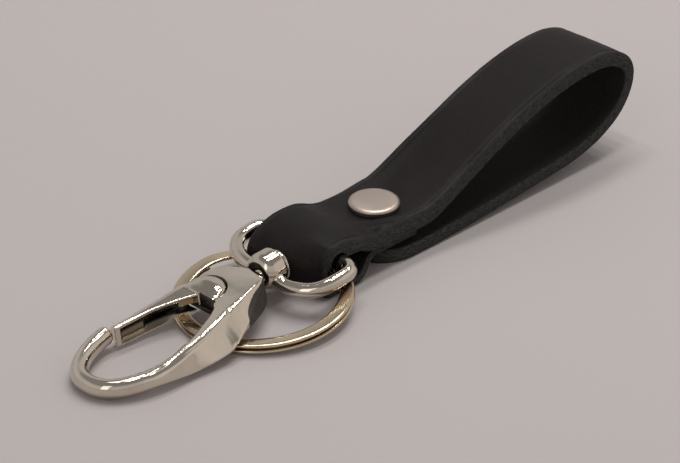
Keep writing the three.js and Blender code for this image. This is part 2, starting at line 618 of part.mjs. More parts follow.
function gateSpring() {
  const perTurn = 16;
  const steps = Math.round(SPRING_TURNS * perTurn);
  const climb = SPRING_PITCH / (2 * Math.PI * SPRING_MEAN_RADIUS);
  const rings = [];
  for (let i = 0; i <= steps; i++) {
    const angle = (2 * Math.PI * i) / perTurn;
    const out = new THREE.Vector3(Math.cos(angle), Math.sin(angle), 0);
    const along = new THREE.Vector3(-Math.sin(angle), Math.cos(angle), climb).normalize();
    const up = new THREE.Vector3().crossVectors(out, along);
    const middle = out.clone().multiplyScalar(SPRING_MEAN_RADIUS);
    middle.z = SPRING_LOW + (SPRING_PITCH * i) / perTurn;
    rings.push(section({ width: SPRING_WIRE / 2, top: SPRING_WIRE / 2, bottom: SPRING_WIRE / 2 }, 6)
      .map(([a, h]) => middle.clone().addScaledVector(out, a).addScaledVector(up, h)));
  }
  console.log('gate spring, least gap between turns, mm:', leastGap(rings, perTurn).toFixed(2));
  return pivotAt(skin(rings));
}

// Split ring: flat wire wound twice, with a joggle where it climbs to the second turn.

function splitRing() {
  const perTurn = 60;
  const step = 360 / perTurn;
  const climb = RING_WIRE + RING_GAP;
  const lastAngle = 720 - RING_JOGGLE - step;
  const rings = [];
  for (let angle = 0; angle <= lastAngle; angle += step) {
    const height = climb * (smoothstep(angle, 360 - RING_JOGGLE, 360) - 0.5);
    const a = rad(angle + 90);
    const thick = RING_WIRE / 2;
    const flat = { width: RING_BAND / 2, top: thick, bottom: thick, topFull: 6, bottomFull: 6 };
    rings.push(section(flat, 12).map(([w, h]) => new THREE.Vector3(
      (RING_RADIUS + w) * Math.cos(a), (RING_RADIUS + w) * Math.sin(a), height + h)));
  }
  console.log('split ring, least gap between turns, mm:', leastGap(rings, perTurn).toFixed(2));
  return skin(rings);
}

// Assembly

function part(name, geometry, color, roughness, metalness) {
  const flat = geometry.index ? geometry.toNonIndexed() : geometry;
  flat.deleteAttribute('normal');
  flat.computeVertexNormals();
  const mesh = new THREE.Mesh(flat, new THREE.MeshStandardMaterial({ color, roughness, metalness }));
  mesh.name = name;
  return mesh;
}

const NICKEL = 0xb9b0a6;
const RIVET_NICKEL = 0xa39689;
const RING_NICKEL = 0xb8a98c;

const keychain = new THREE.Group();
keychain.add(
  part('leather_strap', leatherStrap(), 0x2b2726, 0.62, 0),
  part('rivet_top_cap', rivetTopCap(), RIVET_NICKEL, 0.38, 1),
  part('rivet_socket', rivetSocket(), RIVET_NICKEL, 0.4, 1),
  part('rivet_post', rivetPost(), RIVET_NICKEL, 0.4, 1),
  part('rivet_bottom_cap', rivetBottomCap(), RIVET_NICKEL, 0.38, 1),
);

const bail = new THREE.Group();
bail.position.set(BAR_X, BAR_Y, BAR_Z);
bail.rotation.set(0, -rad(BAIL_PITCH), rad(BAIL_YAW), 'ZYX');
bail.add(part('swivel_bail', swivelBail(), NICKEL, 0.16, 1));
keychain.add(bail);

const hook = new THREE.Group();
hook.position.set(-BOSS_DEPTH, 0, 0);
hook.rotation.y = -HOOK_LEAN;
hook.add(
  part('swivel_stud', swivelStud(), NICKEL, 0.2, 1),
  part('hook_body', hookBody(), NICKEL, 0.14, 1),
  part('gate_lever', gateLever(), NICKEL, 0.16, 1),
  part('gate_pivot_pin', gatePivotPin(), NICKEL, 0.25, 1),
  part('gate_spring', gateSpring(), 0x8d8a86, 0.35, 1),
);
bail.add(hook);

const ring = new THREE.Group();
ring.position.set(
  RING_REAR_X - RING_RADIUS * Math.cos(RING_TILT), RING_Y, RING_REAR_Z - RING_RADIUS * Math.sin(RING_TILT));
ring.rotation.y = -RING_TILT;
ring.add(part('split_ring', splitRing(), RING_NICKEL, 0.2, 1));
keychain.add(ring);

export default keychain;
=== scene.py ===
# %% [markdown]
# # A leather key chain with a snap hook
#
# A strap of black leather is folded into a loop and held by a cap rivet. Its front fold holds a D-shaped
# bail and a flat split ring, and a cast snap hook turns on a stud in the bail. The working model of the
# part gives every place and joint, so this lesson starts by loading it, and every piece below is made in
# the same frame: metres, +X along the strap to its loop, +Z up, the table at z = 0.

# %% Load the frame
import json
import math

import bmesh
import bpy
from mathutils import Matrix, Vector, noise


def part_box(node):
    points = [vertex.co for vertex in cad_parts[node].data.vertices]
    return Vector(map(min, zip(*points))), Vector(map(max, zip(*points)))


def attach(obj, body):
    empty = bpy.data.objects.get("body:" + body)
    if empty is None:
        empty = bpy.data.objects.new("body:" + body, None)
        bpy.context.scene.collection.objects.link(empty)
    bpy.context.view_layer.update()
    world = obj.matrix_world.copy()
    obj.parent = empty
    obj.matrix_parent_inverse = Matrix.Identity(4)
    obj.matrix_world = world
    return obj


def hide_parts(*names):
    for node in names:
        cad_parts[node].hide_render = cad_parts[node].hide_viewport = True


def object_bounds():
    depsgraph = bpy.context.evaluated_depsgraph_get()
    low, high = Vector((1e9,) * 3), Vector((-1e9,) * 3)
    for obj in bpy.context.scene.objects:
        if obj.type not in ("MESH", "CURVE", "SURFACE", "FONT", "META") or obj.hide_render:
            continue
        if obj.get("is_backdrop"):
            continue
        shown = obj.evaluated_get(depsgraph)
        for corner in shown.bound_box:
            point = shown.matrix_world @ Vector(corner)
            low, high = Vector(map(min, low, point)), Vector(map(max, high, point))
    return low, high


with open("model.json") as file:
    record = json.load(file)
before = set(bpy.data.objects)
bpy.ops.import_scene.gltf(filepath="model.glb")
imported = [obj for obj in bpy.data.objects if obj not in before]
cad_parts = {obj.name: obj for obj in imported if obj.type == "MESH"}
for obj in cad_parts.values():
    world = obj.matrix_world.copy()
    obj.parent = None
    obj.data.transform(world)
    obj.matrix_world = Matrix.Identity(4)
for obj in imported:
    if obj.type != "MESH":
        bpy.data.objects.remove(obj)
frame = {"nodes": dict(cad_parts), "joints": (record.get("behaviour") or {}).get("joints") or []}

cad_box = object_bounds()
MM = 0.001
scene = bpy.context.scene
joints = {joint["name"]: joint for joint in frame["joints"]}

# %% [markdown]
# ## Spaces to build in
#
# The bail, the hook and the ring each lie at their own slope. Instead of repeating those slopes, each
# space is read from the joints: a joint's axis is one of the space's axes, and its place is the origin.
# A shape drawn in millimetres in such a space lands exactly on its body.


# %% The three sloping spaces
def place(name):
    return Vector(joints[name]["pos_m"])


def axis(name):
    return Vector(joints[name]["axis"]).normalized()


def space(origin, along, up):
    """A matrix from millimetres along, across and up from the origin to the row frame in metres."""
    x = along.normalized()
    y = up.cross(x).normalized()
    turn = Matrix((x, y, x.cross(y))).transposed().to_4x4()
    turn.translation = origin
    return turn @ Matrix.Scale(MM, 4)


row_space = Matrix.Scale(MM, 4)
hook_space = space(place("hook_swivel"), axis("hook_swivel"), axis("gate_open"))
bail_along = place("bail_swing") - place("hook_swivel")
bail_space = space(place("bail_swing"), bail_along, bail_along.cross(axis("bail_swing")))
ring_along = Vector((axis("ring_spin").z, 0, -axis("ring_spin").x))
ring_space = space(place("ring_spin"), ring_along, axis("ring_spin"))
pivot = hook_space.inverted() @ place("gate_open")
pivot_space = hook_space @ Matrix.Translation(pivot)
print("gate pivot in the hook's own millimetres:", [round(v, 2) for v in pivot])

# %% [markdown]
# ## Closed skins
#
# Most pieces are lofts: rings of points joined into a closed skin. Turned pieces are lofts over circles,
# and the boxes that cut are lofts over two squares. Blender's own primitives would do for some of them,
# but a loft takes any outline and can be drawn straight in a sloping space.

# %% Skins over rings of points
SAME_POINT = 1e-7
POLE = 1e-3


def linked(name, data):
    """A new object in the scene."""
    made = bpy.data.objects.new(name, data)
    scene.collection.objects.link(made)
    return made


def finished(mesh, name):
    """Merges doubles, turns the faces outwards, smooths the shading and links an object."""
    shape = bmesh.new()
    shape.from_mesh(mesh)
    bmesh.ops.remove_doubles(shape, verts=shape.verts, dist=SAME_POINT)
    bmesh.ops.recalc_face_normals(shape, faces=shape.faces)
    shape.to_mesh(mesh)
    shape.free()
    mesh.shade_smooth()
    return linked(name, mesh)


def loft(name, rings, to_row):
    """A closed skin over rings of points in millimetres."""
    count = len(rings[0])
    points = [to_row @ Vector(point) for ring in rings for point in ring]
    faces = []
    for i in range(len(rings) - 1):
        for k in range(count):
            m = (k + 1) % count
            faces.append((i * count + k, (i + 1) * count + k, (i + 1) * count + m, i * count + m))
    faces.append(range(count))
    faces.append(range(len(points) - count, len(points)))
    mesh = bpy.data.meshes.new(name)
    mesh.from_pydata(points, [], faces)
    return finished(mesh, name)


def circle(radius, sides):
    turns = [2 * math.pi * i / sides for i in range(sides)]
    return [(radius * math.cos(a), radius * math.sin(a)) for a in turns]


def lathe(name, profile, to_row, sides=96):
    """A turned piece about the space's Z axis from (radius, height) corners."""
    return loft(name, [[(x, y, h) for x, y in circle(r, sides)] for r, h in profile], to_row)


def lathe_x(name, profile, to_row, shift=0.0, sides=64):
    """A turned piece about the space's X axis from (radius, distance) corners."""
    return loft(name, [[(d + shift, y, z) for y, z in circle(r, sides)] for r, d in profile], to_row)


def rod_profile(radius, low, high):
    return [(POLE, low), (radius, low), (radius, high), (POLE, high)]


def box(name, low, high, to_row):
    (x0, y0, z0), (x1, y1, z1) = low, high
    return loft(name, [[(x, y0, z0), (x, y1, z0), (x, y1, z1), (x, y0, z1)] for x in (x0, x1)], to_row)


print("skins: loft, lathe, lathe_x, box")

# %% [markdown]
# ## Melting and cutting
#
# Cast metal has soft inner corners. Several skins melted together by a voxel remesh and smoothed look
# like that, and clean tools then cut the piece where the real one is drilled or milled. A tool can leave
# its own finish on the faces it cuts, so a recess is rough and gets a near-black colour as painted shade.


# %% Remesh and booleans
def evaluated(piece):
    """A plain mesh of a piece with its modifiers applied."""
    view = bpy.context.evaluated_depsgraph_get()
    return bpy.data.meshes.new_from_object(piece.evaluated_get(view))


def plain(piece):
    """Turns a piece's modifiers into its mesh."""
    mesh = evaluated(piece)
    piece.modifiers.clear()
    piece.data = mesh
    mesh.shade_smooth()
    return piece


def remove(piece):
    bpy.data.objects.remove(piece)


def melted(name, pieces, voxel, rounds):
    """Melts closed pieces into one skin of small voxels and smooths it."""
    shape = bmesh.new()
    for piece in pieces:
        shape.from_mesh(piece.data)
        remove(piece)
    mesh = bpy.data.meshes.new(name)
    shape.to_mesh(mesh)
    shape.free()
    piece = linked(name, mesh)
    remesh = piece.modifiers.new("melt", "REMESH")
    remesh.mode = "VOXEL"
    remesh.voxel_size = voxel * MM
    smooth = piece.modifiers.new("smooth", "SMOOTH")
    smooth.factor = 0.5
    smooth.iterations = rounds
    return plain(piece)


def cut(piece, *tools, finish=None):
    """Cuts a piece with closed tools, which are used up and may leave a finish on what they cut."""
    for tool in tools:
        if finish:
            tool.data.materials.append(finish)
        step = piece.modifiers.new("cut", "BOOLEAN")
        step.operation = "DIFFERENCE"
        step.solver = "EXACT"
        step.material_mode = "TRANSFER"
        step.object = tool
        plain(piece)
        remove(tool)
    return piece


print("melted and cut ready")

# %% [markdown]
# ## Numbers along a line
#
# A cast part is known at a few places, such as how high its ridge is 5, 10 and 20 mm from the swivel. A
# smooth curve through those rows gives the rest, so a line of the hook is a short table that can be
# corrected point by point. A rounded outline comes from sharp corners and one radius.


# %% Easing, key rows and rounded outlines
def ease(value, low, high):
    t = min(1, max(0, (value - low) / (high - low)))
    return t * t * (3 - 2 * t)


def window(value, opens, full, closes, shut):
    """1 from full to closes, 0 outside opens and shut, and smooth between them."""
    return ease(value, opens, full) * (1 - ease(value, closes, shut))


def mix(a, b, t):
    return a + (b - a) * t


def along_keys(keys, at):
    """Values between rows of (position, value, ...), joined by smooth curves."""
    rows = sorted(keys)
    at = min(max(at, rows[0][0]), rows[-1][0])
    i = max(j for j in range(len(rows) - 1) if rows[j][0] <= at)
    before, a, b, after = rows[max(i - 1, 0)], rows[i], rows[i + 1], rows[min(i + 2, len(rows) - 1)]
    span = b[0] - a[0]
    t = (at - a[0]) / span
    values = []
    for k in range(1, len(a)):
        start = (b[k] - before[k]) / (b[0] - before[0]) * span
        stop = (after[k] - a[k]) / (after[0] - a[0]) * span
        values.append(
            (2 * t**3 - 3 * t**2 + 1) * a[k] + (t**3 - 2 * t**2 + t) * start
            + (3 * t**2 - 2 * t**3) * b[k] + (t**3 - t**2) * stop)
    return values if len(values) > 1 else values[0]


def rounded(corners, radius, samples=56):
    """A convex outline: straight between its corners and round about each, as (across, up) pairs."""
    ring = []
    for i in range(samples):
        way = Vector((math.cos(2 * math.pi * i / samples), math.sin(2 * math.pi * i / samples)))
        corner = max(corners, key=lambda c: Vector(c).dot(way))
        ring.append((corner[0] + way.x * radius, corner[1] + way.y * radius))
    return ring


print("half way eased:", ease(0.5, 0, 1))

# %% [markdown]
# ## Shader maths as plain expressions
#
# Materials here are written as sums: a mask times a colour, one minus a pattern. A small class wraps a
# socket, so that Python's own operators add the Math nodes, and one method adds any other node.


# %% The socket class
class Field:
    """A value that changes over a surface or along a path: a socket of a node tree."""

    def __init__(self, tree, socket):
        self.tree = tree
        self.socket = socket

    def node(self, kind, settings=None, out=0, **inputs):
        """Adds a node. Settings come first, then inputs by name with _ for a space, or as i0, i1."""
        made = self.tree.nodes.new(kind)
        for key, value in (settings or {}).items():
            setattr(made, key, value)
        for key, value in inputs.items():
            by_number = key[0] == "i" and key[1:].isdigit()
            socket = made.inputs[int(key[1:])] if by_number else made.inputs[key.replace("_", " ")]
            if isinstance(value, Field):
                self.tree.links.new(value.socket, socket)
            else:
                socket.default_value = value
        return Field(self.tree, made.outputs[out])

    def math(self, operation, other=0.0):
        return self.node("ShaderNodeMath", {"operation": operation}, i0=self, i1=other)

    def __add__(self, other):
        return self.math("ADD", other)

    def __mul__(self, other):
        return self.math("MULTIPLY", other)

    def __sub__(self, other):
        return self.math("SUBTRACT", other)

    def __rsub__(self, other):
        return self.node("ShaderNodeMath", {"operation": "SUBTRACT"}, i0=other, i1=self)

    __radd__ = __add__
    __rmul__ = __mul__

    def between(self, low, high):
        """0 below low, 1 above high, and smooth between them."""
        return self.node("ShaderNodeMapRange", {"interpolation_type": "SMOOTHSTEP"},
                         Value=self, From_Min=low, From_Max=high)

    def blend(self, first, second):
        """A colour between two, by this value."""
        return self.node("ShaderNodeMix", {"data_type": "RGBA"}, out=2, i0=self, i6=first, i7=second)

    def stretched(self, scale):
        return self.node("ShaderNodeMapping", i0=self, Scale=scale)

    def noise(self, scale, detail=3.0, rough=0.5):
        return self.node("ShaderNodeTexNoise", Vector=self, Scale=scale, Detail=detail, Roughness=rough)

    def cells(self, scale, feature="F1"):
        return self.node("ShaderNodeTexVoronoi", {"feature": feature}, Vector=self, Scale=scale)


print("Field adds nodes for + - * and for its own methods")

# %% [markdown]
# ## From fields to a dressed piece
#
# Each material is one Principled shader. Its constants are set once, and only what changes over the
# surface is fed by a field. To dress a piece is to give it that material and the body it rides on, and
# to say which nodes of the working part it stands for.


# %% Materials and dressing
def attribute(tree, name):
    made = tree.nodes.new("ShaderNodeAttribute")
    made.attribute_name = name
    return Field(tree, made.outputs["Fac"])


def coordinates(tree, kind="Object"):
    return Field(tree, tree.nodes.new("ShaderNodeTexCoord").outputs[kind])


def material(name, **constants):
    """A material with one Principled shader, and that shader's inputs set to constants."""
    made = bpy.data.materials.new(name)
    made.use_nodes = True
    shader = made.node_tree.nodes["Principled BSDF"]
    for key, value in constants.items():
        shader.inputs[key.replace("_", " ")].default_value = value
    return made, made.node_tree, shader


def feed(tree, shader, **fields):
    for key, field in fields.items():
        tree.links.new(field.socket, shader.inputs[key.replace("_", " ")])


def bump(height, depth, strength):
    """A Normal from a height pattern, with its depth in millimetres."""
    return height.node("ShaderNodeBump", Height=height, Distance=depth * MM, Strength=strength)


def dress(piece, finish, body, slot, *nodes):
    """Gives a piece its material, makes it stand for CAD nodes and ride on its body. The slot is not
    used.
    """
    if not any(piece.data.materials):
        piece.data.materials.clear()
        piece.data.materials.append(finish)
    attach(piece, body)
    if nodes:
        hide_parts(*nodes)
    print(piece.name, "on", body, len(piece.data.polygons), "faces")


print("material, feed, bump and dress ready")

# %% [markdown]
# ## Polished nickel
#
# The hook and the bail are cast and plated: a warm grey mirror that isn't quite flat. A slow noise
# changes the gloss from place to place, hair-fine marks run over it, and the hook's faint ripple breaks
# its reflections up. The ring is yellower and the rivet is satin. Recesses are rough, the gate's channel
# a little rougher than the hook, and the dark colours of both are painted shade.


# %% Metal finishes
def nickel(name, color, dull, gloss, wear, ripple=0.0):
    made, tree, shader = material(name, Metallic=1.0)
    spot = coordinates(tree)
    cloud = spot.noise(140.0, 4.0)
    grain = spot.noise(2600.0, 2.0)
    marks = spot.stretched((300.0, 3200.0, 900.0)).noise(1.0, 2.0)
    waves = spot.noise(620.0, 1.0)
    feed(
        tree, shader,
        Base_Color=cloud.between(0.35, 0.7).blend((*dull, 1), (*color, 1)),
        Roughness=gloss + cloud.between(0.4, 0.75) * (0.3 * gloss) + grain * (0.2 * gloss),
        Normal=bump(cloud * 0.7 + marks * wear + grain * wear + waves * ripple, 0.02, 0.25),
    )
    return made


hook_nickel = nickel("polished_nickel", (0.70, 0.628, 0.54), (0.63, 0.56, 0.475), 0.065, 0.12, 3.0)
ring_nickel = nickel("yellowed_nickel", (0.68, 0.57, 0.41), (0.60, 0.50, 0.35), 0.16, 0.15)
rivet_nickel = nickel("satin_nickel", (0.53, 0.45, 0.395), (0.49, 0.415, 0.365), 0.36, 0.3)
spring_steel = nickel("drawn_steel", (0.36, 0.35, 0.34), (0.30, 0.29, 0.28), 0.32, 0.3)
# Channel finish: a little rougher than the hook, and its dim colour is painted shade.
channel_painted_shade = nickel("channel_with_painted_shade", (0.36, 0.30, 0.225), (0.22, 0.18, 0.13), 0.14, 0.4)
# Recess finish: rough like unpolished metal, and its near-black colour is painted shade.
recess_painted_shade = nickel("unpolished_recess_painted_shade", (0.11, 0.10, 0.09), (0.07, 0.063, 0.057), 0.42, 0.4)
print("metals:", [m.name for m in bpy.data.materials])

# %% [markdown]
# ## Black leather
#
# The strap is bridle leather: a fine pebbled grain with a dry sheen outside, a rougher flesh side inside
# the loop, and cut edges where the fibres show grey. The mesh carries three numbers per point: how much
# of a cut edge it is, how much of the grain side, and how worn it is.


# %% Leather finish
def black_leather():
    made, tree, shader = material("black_leather", Specular_IOR_Level=0.14)
    spot = coordinates(tree)
    path = coordinates(tree, "UV")
    edge = attribute(tree, "cut_edge")
    grain = attribute(tree, "grain_side")
    worn = attribute(tree, "wear")
    pebbles = spot.cells(2300.0).between(0.05, 0.75)
    creases = spot.cells(900.0, "DISTANCE_TO_EDGE").between(0.0, 0.12)
    tooth = spot.noise(4200.0, 3.0, 0.6)
    cloud = spot.noise(55.0, 5.0, 0.6)
    nap = spot.noise(1500.0, 6.0, 0.7)
    fibres = path.stretched((750.0, 3000.0, 1.0)).noise(1.0, 5.0, 0.7)
    face = cloud.between(0.3, 0.75).blend((0.0090, 0.0070, 0.0064, 1), (0.0131, 0.0102, 0.0094, 1))
    rubbed = (worn * cloud.between(0.35, 0.65)).blend(face, (0.05, 0.046, 0.043, 1))
    flesh = nap.between(0.3, 0.75).blend((0.0085, 0.0075, 0.0072, 1), (0.017, 0.0150, 0.0143, 1))
    cut_face = fibres.between(0.35, 0.7).blend((0.016, 0.0155, 0.0150, 1), (0.066, 0.066, 0.063, 1))
    sides = grain.blend(flesh, rubbed)
    feed(
        tree, shader,
        Base_Color=edge.blend(sides, cut_face),
        Roughness=0.50 + cloud * 0.10 + (1.0 - grain) * 0.22 + edge * 0.14 - worn * 0.05,
        Normal=bump(
            grain * (1.0 - edge) * (pebbles * 0.55 + creases * 0.45 + tooth * 0.35)
            + (1.0 - grain) * nap * 1.3 + edge * fibres * 1.8, 0.06, 0.55),
    )
    return made


leather = black_leather()
print("leather nodes:", len(leather.node_tree.nodes))

# %% [markdown]
# ## The strap's sizes
#
# The strap is one strip of leather, 19 mm wide and skived thinner where it is folded under the rivet. How
# far it reaches is read from the working part's box, so the finished strap fills the same room.

# %% Strap sizes
WIDTH = 19.0
THICK = 3.5
SKIVED = 2.2
LAYER_GAP = 0.25
FOLD_AIR = 0.4
WIRE = 3.4
strap_low, strap_high = (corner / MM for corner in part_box("leather_strap"))
fold_front = strap_low.x
bar = place("bail_swing") / MM
half = THICK / 2
thin = SKIVED / 2
crown = (THICK + SKIVED) / 4
top_low = THICK + SKIVED + 2 * LAYER_GAP
fold_top = bar.z + WIRE / 2 + FOLD_AIR
return_middle = THICK + LAYER_GAP + thin
print("fold from %.1f mm, %.1f mm high" % (fold_front, fold_top + 2 * crown))

# %% [markdown]
# ## The strap's run
#
# One ribbon goes from the lower layer's rounded end, back along the table, up and round the loop, over
# the rivet, round the bail's bar in the front fold and back between the layers. Its middle line is drawn
# with straight runs and Bezier bends in the X-Z plane, because their handles are easy to compare with
# the outline in a photograph.

# %% Middle line of the strap
ROUND_END = -7.3
LOW_FLAT = 9.0
LOW_REAR = 50.0
LOW_LIFT = 2.9
LOOP_TOP_X = 61.0
LOOP_REAR_Z = 19.0
FLAT_RUN = 6.5
FOLD_SHIFT = 0.8
FOLD_CHIN = 0.6
FOLD_FLOOR = 5.8
LIFT_OFF = -15.7
JOIN_SHIFT = 0.4
RETURN_END = 4.8


def bend(a, pull, push, b):
    """A Bezier bend from a to b, with its handles given from its two ends."""
    p, q = (a[0] + pull[0], a[1] + pull[1]), (b[0] + push[0], b[1] + push[1])

    def at(t):
        u = 1 - t
        weights = (u**3, 3 * u * u * t, 3 * u * t * t, t**3)
        return Vector([sum(w * c[k] for w, c in zip(weights, (a, p, q, b))) for k in (0, 1)])

    return at


def straight(a, b):
    return bend(a, ((b[0] - a[0]) / 3, (b[1] - a[1]) / 3), ((a[0] - b[0]) / 3, (a[1] - b[1]) / 3), b)


start = (ROUND_END, half)
low_flat = (LOW_FLAT, half)
low_rear = (LOW_REAR, half + LOW_LIFT)
rear = (strap_high.x - half, LOOP_REAR_Z)
high = (LOOP_TOP_X, strap_high.z - half)
top_rear = (FLAT_RUN, top_low + half)
top_front = (-FLAT_RUN, top_low + half)
over_bar = (bar.x + FOLD_SHIFT, fold_top + crown)
front = (fold_front + thin, (fold_top + crown) / 2 + FOLD_CHIN)
fold_floor = (fold_front + FOLD_FLOOR, thin)
lift_off = (LIFT_OFF, thin)
joined = (ROUND_END + JOIN_SHIFT, return_middle)
end = (RETURN_END, return_middle)
rise = math.dist(lift_off, joined) / 2
# Each run: its curve, its steps, and the thickness where it starts and ends.
strap_runs = [
    (straight(start, low_flat), 44, THICK, THICK),
    (bend(low_flat, (14, 0.5), (-14, -1.2), low_rear), 34, THICK, THICK),
    (bend(low_rear, (13, 1.1), (0, -8), rear), 40, THICK, THICK),
    (bend(rear, (0, 4.2), (6, 0), high), 30, THICK, THICK),
    (bend(high, (-24, 0), (6, 0), top_rear), 56, THICK, THICK),
    (straight(top_rear, top_front), 26, THICK, THICK),
    (bend(top_front, (-5, 0), (5, 0), over_bar), 26, THICK, 2 * crown),
    (bend(over_bar, (-4, 0), (0, 3), front), 26, 2 * crown, SKIVED),
    (bend(front, (0, -4.8), (-4.4, 0), fold_floor), 24, SKIVED, SKIVED),
    (straight(fold_floor, lift_off), 6, SKIVED, SKIVED),
    (bend(lift_off, (rise, 0), (-rise, 0), joined), 20, SKIVED, SKIVED),
    (straight(joined, end), 12, SKIVED, SKIVED),
]
# Numbers of the runs that carry marks, from the loop's slope to the fold's floor.
SLOPE, FLAT, STEP, OVER, CHIN, FLOOR = range(4, 10)


def strap_stations():
    """Points down the strap: place, direction, thickness, the length so far and the run's number."""
    rows = []
    length = 0.0
    for number, (curve, steps, thick, then) in enumerate(strap_runs):
        for i in range(0 if number == 0 else 1, steps + 1):
            t = i / steps
            if number == 0:
                t = t * t
            at = curve(t)
            way = (curve(min(1, t + 1e-3)) - curve(max(0, t - 1e-3))).normalized()
            length += (at - rows[-1][0]).length if rows else 0.0
            rows.append((at, way, mix(thick, then, t), length, number))
    return rows


stations = strap_stations()
print("strap: %d stations, %.0f mm of leather" % (len(stations), stations[-1][3]))

# %% [markdown]
# ## The strap's section
#
# Across its width the strap has rubbed corners on the grain side, sharper ones on the flesh side, a
# creased line a little inside each edge, and a slight crown. The section is drawn for one half and
# mirrored, and each of its points knows how much of a cut edge and of the grain side it is.

# %% Section across the strap
CORNER = 0.75
FLESH_CORNER = 0.45
CREASE_IN = 1.55
CREASE_WIDE = 0.32
CREASE_DEEP = 0.14
FACE_CROWN = 0.08
EDGE_BULGE = 0.12
RIM_GRAIN = 0.3


def section_row(half_width, thick):
    """(across, outwards, cut edge, grain side) round the strap, starting on the flesh side."""
    corner = min(CORNER, half_width * 0.5)
    inner_corner = corner * FLESH_CORNER
    scale = min(1.0, half_width / (WIDTH / 2))
    outer = []
    for turn in (0, 18, 36, 54, 72, 90):
        a = math.radians(turn)
        outer.append((half_width - corner * (1 - math.cos(a)), thick / 2 - corner * (1 - math.sin(a)),
                      1 - turn / 90, turn / 90))
    crease = CREASE_IN * scale
    for share, deep in ((-1, 0), (-0.5, 0.6), (0, 1), (0.5, 0.6), (1, 0)):
        across = half_width - crease - share * CREASE_WIDE * scale
        outer.append((across, thick / 2 - CREASE_DEEP * deep * scale, 0, 1))
    inside = half_width - crease - CREASE_WIDE * scale
    for share in (0.92, 0.8, 0.66, 0.52, 0.38, 0.24, 0.1):
        outer.append((inside * share, thick / 2 + FACE_CROWN * (1 - share**2), 0, 1))
    flesh = [(half_width * share, -thick / 2, 0, 0) for share in (0.12, 0.36, 0.6, 0.8)]
    for turn in (90, 60, 30, 0):
        a = math.radians(turn)
        flesh.append((half_width - inner_corner * (1 - math.cos(a)),
                      inner_corner * (1 - math.sin(a)) - thick / 2, 1 - turn / 90, 0))
    rim_low, rim_high = inner_corner - thick / 2, thick / 2 - corner
    rim = [(half_width + EDGE_BULGE * math.sin(math.pi * s), mix(rim_low, rim_high, s), 1, RIM_GRAIN)
           for s in (0.25, 0.5, 0.75)]
    right = flesh + rim + outer
    left = [(-a, h, e, g) for a, h, e, g in reversed(right)]
    return right + left


print("section:", len(section_row(WIDTH / 2, THICK)), "points")

# %% [markdown]
# ## Marks of use
#
# The rivet pulls the top layer down, so a soft swelling stands round its cap, and a few folds run from it
# to the near edge. The fold sits a little askew and hugs the bail's bar on the near side. A bump map
# would show none of that from the side, so each mark moves the mesh itself.

# %% Marks of the rivet and the fold
SWELL = 0.42
FOLDS = 0.42
ROLL_NEAR = 0.03
ROLL_FAR = 0.045
SKEW_FROM = -17.5
SKEW_NEAR = 2.8
SKEW_FAR = 1.8
FAR_LIFT = 0.9
HUG_RADIUS = 2.15
NEAR_THINNING = 0.8


def top_marks(x, y):
    """How far the top layer's grain stands up or down near the rivet, in mm."""
    r = math.hypot(x, y)
    swell = SWELL * window(r, 5.2, 8.6, 9.0, 17.0)
    reach = window(-x, -3, 3, 9, 14) * window(-y, 2.5, 6.0, 7.8, 8.6)
    folds = FOLDS * math.sin(1.55 * (x * 0.55 + y * 1.1) + 1.2 * noise.noise(Vector((x, y, 3)) * 0.25))
    return swell + folds * reach


def strap_roll(x, y):
    """The strap rolls a little behind the bail: its near edge dips and its far edge lifts."""
    return window(x, -18.5, -13.5, -12.5, -3.0) * (ROLL_NEAR * y if y < 0 else ROLL_FAR * y)


def near_thinning(x, y):
    """The near edge is pressed thinner where it goes over the bail's bar."""
    return NEAR_THINNING * ease(-y, 2.0, 9.3) * window(-x, 9.0, 16.0, 20.5, 23.5)


def far_lift(x, y):
    """The far edge starts its rise to the loop beside the rivet already."""
    return FAR_LIFT * ease(y, 4.0, 9.5) * window(x, -3.0, 9.0, 12.0, 30.0)


def fold_skew(x, y):
    """The fold's near half is drawn back to the bail's bar and its far half leans forward."""
    drawn = SKEW_NEAR * ease(-y, 1.0, 9.5) - SKEW_FAR * ease(y, 1.0, 9.5)
    return drawn * max(0.0, (SKEW_FROM - x) / (SKEW_FROM - fold_front)) ** 1.5


def hugged(x, y, z, depth):
    """Draws the fold's inner side, where depth is 1, to the bar near the strap's near edge."""
    from_bar = Vector((x - bar.x, z - bar.z))
    far = from_bar.length
    pull = depth * ease(-y, 5.0, 9.3) * ease(from_bar.y, -1.5, 0.5) * (1 - ease(far, 4.5, 6.5))
    from_bar *= mix(far, min(far, HUG_RADIUS), pull) / far
    return bar.x + from_bar.x, bar.z + from_bar.y


def marked(x, y, z, run, height, depth, grain_side):
    """A point of the plain ribbon, moved by the marks of the run it is on."""
    if run in (SLOPE, FLAT, STEP) and height > 0:
        z += top_marks(x, y) * grain_side
    if run in (FLAT, STEP):
        z += strap_roll(x, y)
    if run in (STEP, OVER) and height > 0:
        z -= near_thinning(x, y)
    if run in (SLOPE, FLAT):
        z += far_lift(x, y)
    if run in (STEP, OVER, CHIN, FLOOR):
        x += fold_skew(x, y)
    if run in (STEP, OVER, CHIN):
        x, z = hugged(x, y, z, depth)
    return x, z


print("swelling beside the cap: %.2f mm" % top_marks(0, 8.8))

# %% [markdown]
# ## The strap's mesh
#
# The section is set square across every station of the run. A cloth simulation could fold a flat strip
# instead, but it wouldn't stop in the pose of the photograph. The map of the surface follows the leather:
# along the strip and round its section, so that the fibres of the cut edge run along it.

# %% Strap
RETURN_INSET = 1.4
FACE_WOBBLE = 0.05
EDGE_WOBBLE = 0.09
FOLD_AT = 203
EDGE_WEAR = 0.55
FOLD_WEAR = 0.7


def strap_half_width(at, length, run):
    """Half the width at a station: rounded at the lower end, and a little narrower on the return."""
    half_width = WIDTH / 2
    from_tip = max(length, 0.02)
    if from_tip < half_width:
        half_width = math.sqrt(half_width**2 - (half_width - from_tip) ** 2)
    if run > FLOOR:
        half_width -= RETURN_INSET * ease(at.x, -14.0, -7.0)
    return half_width


